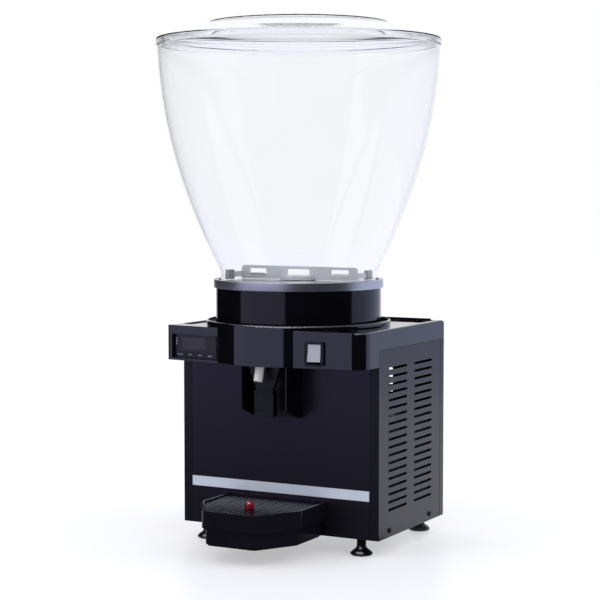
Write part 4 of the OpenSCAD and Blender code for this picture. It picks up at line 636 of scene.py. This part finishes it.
class DISPENSER_OT_bowl(bpy.types.Operator):
    """Turns the clear bowl from its wall's curve, with its bead and the lugs on its rim"""

    bl_idname = "dispenser.bowl"
    bl_label = "Bowl"

    def execute(self, context):
        s = sizes()
        low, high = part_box("bowl")
        foot_z, top_z = low.z, high.z
        bead_z = top_z - 6.3 * MM
        wall = s.bowl_wall

        def wall_line(inside):
            start = Vector((s.bowl_foot_r - inside, foot_z + 17 * MM + inside * 0.26))
            end = Vector((s.bowl_rim_r - inside, bead_z))
            rise = end.y - start.y
            low_handle = start + rise * 0.525 * Vector((0.52, 1))
            high_handle = end - rise * 0.0965 * Vector((0.12, 1))
            return [tuple(bezier(start, low_handle, high_handle, end, i / 48)) for i in range(49)]

        reach = s.bowl_rim_r + 1.4 * MM
        outline = ([(s.bowl_foot_r - wall, foot_z), (s.bowl_foot_r, foot_z)] + wall_line(0)
                   + [(reach, bead_z + 0.6 * MM), (reach, top_z), (s.bowl_rim_r - wall, top_z)]
                   + wall_line(wall)[::-1])
        bowl = grow("bowl_shell", "turned", outline_mesh("bowl_outline", rounded(outline, 0.7 * MM)),
                    {"Steps Around": s.steps_around}, "clear", turn_out=True, sharp=50)
        ride(bowl, "bowl", ["bowl"])

        lug_r = (s.bowl_rim_r + 1.55 * MM) / MM
        places = []
        for i in range(8):
            turn = math.radians(-87 + i * 45)
            point = (lug_r * math.cos(turn), lug_r * math.sin(turn), top_z / MM - 2.8)
            places.append((point, (0, 0, turn)))
        lugs = grow("bowl_lugs", "blocks", places_mesh("lug_places", places),
                    {"Size": (1.2 * MM, 5.5 * MM, 2.4 * MM)}, "clear")
        ride(lugs, "bowl")
        return {"FINISHED"}


class DISPENSER_OT_lid(bpy.types.Operator):
    """Turns the clear lid: its edge, sloped skirt, step and flat top"""

    bl_idname = "dispenser.lid"
    bl_label = "Lid"

    def execute(self, context):
        s = sizes()
        low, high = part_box("lid")
        lid_z, top_z = low.z + 6 * MM, high.z
        shoulder_z = lid_z + 2 * MM
        plateau_z = top_z - 1.4 * MM
        wall = 2.4 * MM
        edge_r = s.bowl_rim_r + 0.8 * MM
        plateau_r = 118 * MM
        inner_r = s.bowl_rim_r - s.bowl_wall - 2 * MM
        outline = [(0, top_z - wall), (plateau_r - 2 * MM, top_z - wall),
                   (plateau_r - 1 * MM, plateau_z - wall), (inner_r - wall, shoulder_z - wall),
                   (inner_r - wall, low.z), (inner_r, low.z), (inner_r, lid_z), (edge_r, lid_z),
                   (edge_r, shoulder_z), (edge_r - 2 * MM, shoulder_z), (plateau_r, plateau_z),
                   (plateau_r - 0.6 * MM, top_z), (0, top_z)]
        lid = grow("lid_shell", "turned", outline_mesh("lid_outline", rounded(outline, 0.5 * MM, 3, 20)),
                   {"Steps Around": s.steps_around}, "clear", turn_out=True, sharp=50)
        ride(lid, "lid", ["lid"])
        return {"FINISHED"}


class DISPENSER_OT_pan_rim(bpy.types.Operator):
    """Rolls the bright rim that closes the pan's skirt"""

    bl_idname = "dispenser.pan_rim"
    bl_label = "Pan rim"

    def execute(self, context):
        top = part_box("evaporator_pan")[1]
        skirt_r, rim_z = 111.6, PAN_RIM_Z
        near_r, far_r, inner_r = skirt_r + 0.05, skirt_r + 0.6, skirt_r - 3.2
        outline = [(near_r, rim_z - 10.4), (far_r, rim_z - 10.4), (far_r, rim_z + 0.35),
                   (inner_r, rim_z + 0.35), (inner_r, rim_z + 0.05), (near_r, rim_z + 0.05)]
        scaled = [(r * MM, z * MM) for r, z in rounded(outline, 0.45, 4)]
        rim = grow("pan_rim_roll", "turned", outline_mesh("rim_outline", scaled),
                   {"Steps Around": sizes().steps_around}, "rolled", turn_out=True, sharp=50)
        if top.z < rim_z * MM:
            raise RuntimeError("the pan ends under its rolled rim")
        ride(rim, "machine")
        return {"FINISHED"}


class DISPENSER_OT_seams(bpy.types.Operator):
    """Lays dark rubber strips in the seams between the cabinet's sheets: painted shadow for the shade in
    the seam gaps
    """

    bl_idname = "dispenser.seams"
    bl_label = "Seam gaskets"

    def execute(self, context):
        middle_y = (FRONT_Y + REAR_Y) / 2
        # Each strip is painted shadow: a dark line where the gap between two sheets lies in shade
        rows = (("cover_seam_gaskets", (0.3, REAR_Y - FRONT_Y - 1.0, 0.9),
                 [((side * HALF_W, middle_y, SEAM_Z), (0, 0, 0)) for side in (-1, 1)]),
                ("rear_seam_gaskets", (0.3, 0.9, 241.0),
                 [((side * HALF_W, REAR_Y - 12.0, SEAM_Z - 121.5), (0, 0, 0)) for side in (-1, 1)]))
        for name, size, places in rows:
            strips = grow(name, "blocks", places_mesh(name + "_places", places),
                          {"Size": [length * MM for length in size]}, "rubber")
            ride(strips, "machine")
        return {"FINISHED"}


class DISPENSER_OT_louvres(bpy.types.Operator):
    """Presses the lip round every louvre slot of the side and rear panels"""

    bl_idname = "dispenser.louvres"
    bl_label = "Louvre lips"

    def execute(self, context):
        s = sizes()
        quarter = math.pi / 2
        top_z, pitch, slot_h = 239.5, 10.13, 3.2
        side_l, rear_l, rear_x, rear_drop = 55, 60, 39, 20
        sides = [((side * HALF_W, FRONT_Y + start + side_l / 2, top_z - row * pitch),
                  (quarter, 0, quarter))
                 for side in (-1, 1) for start in (29, 108) for row in range(19)]
        rear = [((side * rear_x, REAR_Y, top_z - rear_drop - row * pitch), (quarter, 0, 0))
                for side in (-1, 1) for row in range(12)]
        for name, places, length in (("side_louvre_lips", sides, side_l),
                                     ("rear_slot_lips", rear, rear_l)):
            lips = grow(name, "lips", places_mesh(name + "_places", places),
                        {"Length": length * MM, "Height": slot_h * MM, "Lip Radius": s.lip_r}, "sheet",
                        turn_out=True)
            ride(lips, "machine")
        return {"FINISHED"}


class DISPENSER_OT_screws(bpy.types.Operator):
    """Sets the cross-recessed screws of the cabinet, the tap housing and the tray holder"""

    bl_idname = "dispenser.screws"
    bl_label = "Screws"

    def execute(self, context):
        quarter = math.pi / 2
        spin = iter((0.3, 1.1, 0.7, 0.1, 1.3, 0.5, 0.9, 0.2, 0.6, 1.2, 0.4, 0.8))

        def seat(point, pitch, yaw):
            turn = Matrix.Rotation(yaw, 4, "Z") @ Matrix.Rotation(pitch, 4, "X")
            return point, (turn @ Matrix.Rotation(next(spin), 4, "Z")).to_euler()

        places = [seat((side * HALF_W, FRONT_Y + y, 30.6), quarter, side * quarter)
                  for side in (-1, 1) for y in (32.4, 157.6)]
        places += [seat((side * 133, REAR_Y, z), quarter, math.pi)
                   for side in (-1, 1) for z in (36.0, 252.8)]
        places += [seat((side * 25, FRONT_Y - 2.5, 224.0), quarter, 0) for side in (-1, 1)]
        places += [seat((side * 40, FRONT_Y - 2.2, 36.0), quarter, 0) for side in (-1, 1)]
        screws = grow("recessed_screws", "screws", places_mesh("screw_places", places),
                      {"Head Radius": sizes().screw_head_r}, "oxide", turn_out=True)
        ride(screws, "machine", ["cabinet_screws"])
        return {"FINISHED"}


class DISPENSER_OT_display(bpy.types.Operator):
    """Lays the unlit digits, the marks beside them and the signs on the keys"""

    bl_idname = "dispenser.display"
    bl_label = "Display and keys"

    def execute(self, context):
        face = turn_about_z(DISPLAY_PLACE, -BAY_TURN) @ Matrix.Translation(Vector(FACE_SHIFT) * MM)
        quarter = math.pi / 2
        height = sizes().digit_h / MM
        width, thick = height * 0.52, height * 0.1
        bars = [(0, height / 2, 0), (0, 0, 0), (0, -height / 2, 0), (-width / 2, height / 4, quarter),
                (width / 2, height / 4, quarter), (-width / 2, -height / 4, quarter),
                (width / 2, -height / 4, quarter)]

        def on_face(name, recipe, spots, inputs, look, body):
            """Lays flat forms on the face; a spot is its place along and up the face and its turn."""
            places = [((s, -0.03, z), (quarter, -turn, 0)) for s, z, turn in spots]
            piece = grow(name, recipe, places_mesh(name + "_places", places), inputs, look,
                         turn_out=True)
            piece.data.transform(face)
            return ride(piece, body)

        digits = [(s + b, 4 + z, turn) for s in (-15, -4.5, 6) for b, z, turn in bars]
        on_face("digit_segments", "segments", digits,
                {"Half Size": (width * 0.46 * MM, thick * MM, 1.0)}, "segment", "machine")
        on_face("digit_points", "blocks", [(-9.6, -1.6, 0), (0.9, -1.6, 0), (11.4, -1.6, 0)],
                {"Size": (0.9 * MM, 0.9 * MM, 0.12 * MM)}, "segment", "machine")
        on_face("lamp_marks", "blocks", [(-31.3, 2.4 + 3.4 * i, 0) for i in range(3)],
                {"Size": (2.0 * MM, 1.5 * MM, 0.12 * MM)}, "ink", "machine")
        slant = math.radians(35)
        signs = {
            "key_set": [(-3.2, 0, 0), (0, 0, 0), (3.2, 0, 0)],
            "key_down": [(-1.0, 0.2, slant * -1), (1.0, 0.2, slant)],
            "key_up": [(-1.0, 0.2, slant), (1.0, 0.2, slant * -1)],
            "key_light": [(-2.4, 0, 0), (0, 0, quarter), (2.4, 0, 0)],
        }
        for i, (key, marks) in enumerate(signs.items()):
            middle = (i - 1.5) * 16.8 - 0.4
            on_face(key + "_sign", "blocks", [(middle + s, -11.1 + z, turn) for s, z, turn in marks],
                    {"Size": (2.3 * MM, 0.8 * MM, 0.12 * MM)}, "ink", key)
        return {"FINISHED"}


class DISPENSER_OT_rocker_marks(bpy.types.Operator):
    """Puts the bar and the ring on the rocker"""

    bl_idname = "dispenser.rocker_marks"
    bl_label = "Rocker marks"

    def execute(self, context):
        rocker = (turn_about_z(SWITCH_PLACE, BAY_TURN) @ Matrix.Translation((0, ROCKER_AXIS_Y * MM, 0))
                  @ Matrix.Rotation(-ROCKER_TILT, 4, "X"))
        quarter = math.pi / 2
        lean = math.atan2(1.2, 11)
        bar = grow("rocker_bar", "blocks", places_mesh("bar_place", [((0, 0, 0), (0, 0, 0))]),
                   {"Size": (0.7 * MM, 3.6 * MM, 0.14 * MM)}, "ink", turn_out=True)
        ring_outline = [(1.35 * MM, -0.07 * MM), (1.95 * MM, -0.07 * MM), (1.95 * MM, 0.07 * MM),
                        (1.35 * MM, 0.07 * MM)]
        ring = grow("rocker_ring", "turned", outline_mesh("ring_outline", ring_outline),
                    {"Steps Around": 28}, "ink", turn_out=True)
        for mark, up in ((bar, 1), (ring, -1)):
            depth = ROCKER_FRONT_Y + 1.2 * 0.45
            lay = (Matrix.Translation((0, depth * MM, up * 6.0 * MM))
                   @ Matrix.Rotation(quarter + up * lean, 4, "X"))
            mark.data.transform(rocker @ lay)
            ride(mark, "rocker")
        return {"FINISHED"}


class DISPENSER_OT_foot_ribs(bpy.types.Operator):
    """Puts the grip ribs round each foot's disc, so that it can be turned by hand"""

    bl_idname = "dispenser.foot_ribs"
    bl_label = "Foot ribs"

    def execute(self, context):
        s = sizes()
        count = 28
        for node in ("foot_front_left", "foot_front_right", "foot_rear_left", "foot_rear_right"):
            low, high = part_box(node)
            middle = (low + high) / 2 / MM
            radius = (high.x - low.x) / 2 / MM - 0.15
            places = []
            for i in range(count):
                turn = 2 * math.pi * i / count
                point = (middle.x + radius * math.cos(turn), middle.y + radius * math.sin(turn), 2.3)
                places.append((point, (0, 0, turn)))
            ribs = grow(node + "_ribs", "ribs", places_mesh(node + "_places", places),
                        {"Rib Radius": s.rib_r, "Rib Height": 2.0 * MM}, "foot", turn_out=True)
            ride(ribs, node)
        return {"FINISHED"}


class DISPENSER_OT_condenser(bpy.types.Operator):
    """Packs the condenser with thin fins between its end plates"""

    bl_idname = "dispenser.condenser"
    bl_label = "Condenser fins"

    def execute(self, context):
        low, high = (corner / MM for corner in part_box("condenser_fins"))
        middle = (low + high) / 2
        count = 52
        step = (high.y - low.y) / count
        places = [((middle.x, low.y + (i + 0.5) * step, middle.z), (0, 0, 0)) for i in range(count)]
        span = (high - low) * MM
        fins = grow("fin_pack", "blocks", places_mesh("fin_places", places),
                    {"Size": (span.x, 0.25 * MM, span.z - 3.6 * MM)}, "aluminium")
        ride(fins, "machine", ["condenser_fins"])
        ends = [((middle.x, middle.y, z), (0, 0, 0)) for z in (low.z + 0.8, high.z - 0.8)]
        plates = grow("fin_end_plates", "blocks", places_mesh("end_places", ends),
                      {"Size": (span.x, span.y, 1.6 * MM)}, "aluminium")
        ride(plates, "machine")
        return {"FINISHED"}


# ---------------------------------------------------------------------------------------------
# Studio

CAMERA_AT = (1.06178, -1.96974, 0.47277)
CAMERA_TURN = (math.radians(90 - 3.870127), 0.0, math.radians(28.278694))
CAMERA_LENS = 101.516
CAMERA_BEARING = math.radians(-61.72)
# How far out, and how high, the cards of the studio stand, in metres
CARD_REACH = 1.7


def white_where_seen(tree):
    """1 on rays from the camera and on those that metal and glass send on, 0 on light for paint."""
    ray = add(tree, "ShaderNodeLightPath").outputs
    seen = add(tree, "ShaderNodeMath", {0: ray["Is Camera Ray"], 1: ray["Is Glossy Ray"]},
               operation="ADD")
    return add(tree, "ShaderNodeMath", {0: seen.outputs[0], 1: ray["Is Transmission Ray"]},
               operation="ADD", use_clamp=True).outputs[0]


class DISPENSER_OT_stage(bpy.types.Operator):
    """Sets the pale floor, the studio's cards and lamps, and the camera of the photograph"""

    bl_idname = "dispenser.stage"
    bl_label = "Studio"

    def execute(self, context):
        scene = context.scene
        scene.view_settings.view_transform = "Standard"
        self.floor()
        # Degrees to the left of the camera at which each card starts and ends, seen from the bowl
        self.card("soft_card", 18, 84, linear("#cdcae6"))
        self.card("dark_card_left", 84, 154, linear("#101014"))
        self.card("dark_card_right", -76, 18, linear("#101014"))
        self.card("right_card", -150, -76, linear("#c9d2ee"))
        self.floor_card("floor_card", -76, 90, linear("#39383f"))
        self.floor_card("floor_card_left", 90, 154, linear("#a9a6c0"))
        self.top_card(50, 1.0, 2.3, 1.2, 5.0)
        self.lamp("front_lamp", (-1.6, -1.9, 1.9), 1.6, 9.0)
        self.lamp("right_lamp", (2.4, 0.6, 1.6), 1.8, 8.0)
        self.world(scene)
        camera = bpy.data.objects.new("camera", bpy.data.cameras.new("camera"))
        scene.collection.objects.link(camera)
        camera.location = CAMERA_AT
        camera.rotation_euler = CAMERA_TURN
        camera.data.lens = CAMERA_LENS
        camera.data.sensor_width = 36.0
        scene.camera = camera
        return {"FINISHED"}

    def shown(self, name, mesh, material):
        piece = bpy.data.objects.new(name, mesh)
        bpy.context.scene.collection.objects.link(piece)
        mesh.materials.append(material)
        return piece

    def floor(self):
        """A pale floor that is white where nothing shades it, with a weak soft reflection."""
        material = bpy.data.materials.new("studio_floor_painted")
        material.use_nodes = True
        tree = material.node_tree
        tree.nodes.clear()
        cloud = add(tree, "ShaderNodeTexNoise", {"Scale": 3.0, "Detail": 2.0})
        tone = add(tree, "ShaderNodeValToRGB", {"Fac": cloud.outputs["Fac"]})
        floor = colour("floor")
        for stop, part in zip(tone.color_ramp.elements, (0.985, 1.015)):
            stop.color = tuple(c * part for c in floor) + (1.0,)
        paint = add(tree, "ShaderNodeBsdfDiffuse", {"Color": tone.outputs["Color"]})
        glow = add(tree, "ShaderNodeEmission", {"Color": (1, 1, 1, 1), "Strength": 0.47})
        bright = add(tree, "ShaderNodeAddShader", {0: paint.outputs[0], 1: glow.outputs[0]})
        lit = add(tree, "ShaderNodeMixShader", {
            0: white_where_seen(tree), 1: paint.outputs[0], 2: bright.outputs[0]})
        sheen = add(tree, "ShaderNodeBsdfAnisotropic", {"Color": (1, 1, 1, 1), "Roughness": 0.3})
        both = add(tree, "ShaderNodeMixShader", {0: 0.1, 1: lit.outputs[0], 2: sheen.outputs[0]})
        add(tree, "ShaderNodeOutputMaterial", {"Surface": both.outputs[0]})
        mesh = bpy.data.meshes.new("floor")
        corners = [(x, y, 0.0) for x, y in ((-9, -9), (9, -9), (9, 9), (-9, 9))]
        mesh.from_pydata(corners, [], [(0, 1, 2, 3)])
        self.shown("floor", mesh, material)

    def glow_material(self, name, tint, strength=1.0):
        """Light from one side only: from behind, a card is clear."""
        material = bpy.data.materials.new(name)
        material.use_nodes = True
        tree = material.node_tree
        tree.nodes.clear()
        glow = add(tree, "ShaderNodeEmission", {"Color": tint + (1.0,), "Strength": strength})
        behind = add(tree, "ShaderNodeNewGeometry").outputs["Backfacing"]
        away = add(tree, "ShaderNodeBsdfTransparent")
        one_side = add(tree, "ShaderNodeMixShader", {0: behind, 1: glow.outputs[0], 2: away.outputs[0]})
        add(tree, "ShaderNodeOutputMaterial", {"Surface": one_side.outputs[0]})
        return material

    def reflected_only(self, piece):
        """A card shows in gloss and is neither seen nor in the way of the light."""
        piece.visible_camera = False
        piece.visible_diffuse = False
        piece.visible_transmission = False
        piece.visible_shadow = False

    def card(self, name, start, end, tint):
        """A standing card, a band of a wall round the bowl's axis."""
        self.band(name, start, end, 12, [(CARD_REACH, 0.0), (CARD_REACH, CARD_REACH)], tint)

    def floor_card(self, name, start, end, tint):
        """A card that lies just over the floor, a sector round the bowl's axis."""
        self.band(name, start, end, 24, [(0.02, 0.002), (CARD_REACH, 0.002)], tint)

    def band(self, name, start, end, steps, edges, tint):
        """Joins two edges, each a radius and a height, from one bearing to another."""
        points = []
        for i in range(steps + 1):
            bearing = CAMERA_BEARING - math.radians(start + (end - start) * i / steps)
            points += [(r * math.cos(bearing), r * math.sin(bearing), z) for r, z in edges]
        mesh = bpy.data.meshes.new(name)
        faces = [(2 * i, 2 * i + 2, 2 * i + 3, 2 * i + 1) for i in range(steps)]
        mesh.from_pydata(points, [], faces)
        self.reflected_only(self.shown(name, mesh, self.glow_material(name, tint)))

    def top_card(self, left, radius, height, half, strength):
        """The lit face of the overhead softbox, which edges that look upwards reflect."""
        bearing = CAMERA_BEARING - math.radians(left)
        x, y = radius * math.cos(bearing), radius * math.sin(bearing)
        corners = [(x + a * half, y + b * half, height) for a, b in ((-1, -1), (-1, 1), (1, 1), (1, -1))]
        mesh = bpy.data.meshes.new("top_card")
        mesh.from_pydata(corners, [], [(0, 1, 2, 3)])
        glow = self.glow_material("top_card", (1, 1, 1), strength)
        self.reflected_only(self.shown("top_card", mesh, glow))

    def lamp(self, name, place, size, power):
        data = bpy.data.lights.new(name, "AREA")
        data.shape = "SQUARE"
        data.size = size
        data.energy = power
        lamp = bpy.data.objects.new(name, data)
        bpy.context.scene.collection.objects.link(lamp)
        lamp.location = place
        aim = Vector((0, 0, 0.3)) - Vector(place)
        lamp.rotation_euler = aim.to_track_quat("-Z", "Y").to_euler()
        lamp.visible_glossy = False
        lamp.visible_camera = False

    def world(self, scene):
        world = bpy.data.worlds.new("studio")
        world.use_nodes = True
        tree = world.node_tree
        tree.nodes.clear()
        paint_light = add(tree, "ShaderNodeBackground", {
            "Color": linear("#f3f4fb") + (1.0,), "Strength": 0.82})
        backdrop = add(tree, "ShaderNodeBackground", {"Color": (1, 1, 1, 1), "Strength": 1.0})
        both = add(tree, "ShaderNodeMixShader", {
            0: white_where_seen(tree), 1: paint_light.outputs[0], 2: backdrop.outputs[0]})
        add(tree, "ShaderNodeOutputWorld", {"Surface": both.outputs[0]})
        scene.world = world


# ---------------------------------------------------------------------------------------------
# Panel and main

OPERATORS = [DISPENSER_OT_finishes, DISPENSER_OT_bowl, DISPENSER_OT_lid, DISPENSER_OT_pan_rim,
             DISPENSER_OT_seams, DISPENSER_OT_louvres, DISPENSER_OT_screws, DISPENSER_OT_display,
             DISPENSER_OT_rocker_marks, DISPENSER_OT_foot_ribs, DISPENSER_OT_condenser,
             DISPENSER_OT_stage]


class DISPENSER_PT_panel(bpy.types.Panel):
    """Lists the steps that dress the dispenser"""

    bl_idname = "DISPENSER_PT_panel"
    bl_label = "Cold drink dispenser"
    bl_space_type = "VIEW_3D"
    bl_region_type = "UI"
    bl_category = "Dispenser"

    def draw(self, context):
        for operator in OPERATORS:
            self.layout.operator(operator.bl_idname)
        for group in (context.scene.dispenser_sizes, context.scene.dispenser_colours):
            box = self.layout.box()
            for name in group.__annotations__:
                box.prop(group, name)


CLASSES = [DispenserSizes, DispenserColours] + OPERATORS + [DISPENSER_PT_panel]


def register():
    for cls in CLASSES:
        bpy.utils.register_class(cls)
    bpy.types.Scene.dispenser_sizes = PointerProperty(type=DispenserSizes)
    bpy.types.Scene.dispenser_colours = PointerProperty(type=DispenserColours)


def unregister():
    del bpy.types.Scene.dispenser_colours
    del bpy.types.Scene.dispenser_sizes
    for cls in reversed(CLASSES):
        bpy.utils.unregister_class(cls)


def main():
    register()
    for operator in OPERATORS:
        name = operator.bl_idname.split(".")[1]
        getattr(bpy.ops.dispenser, name)()


if __name__ == "__main__":
    main()
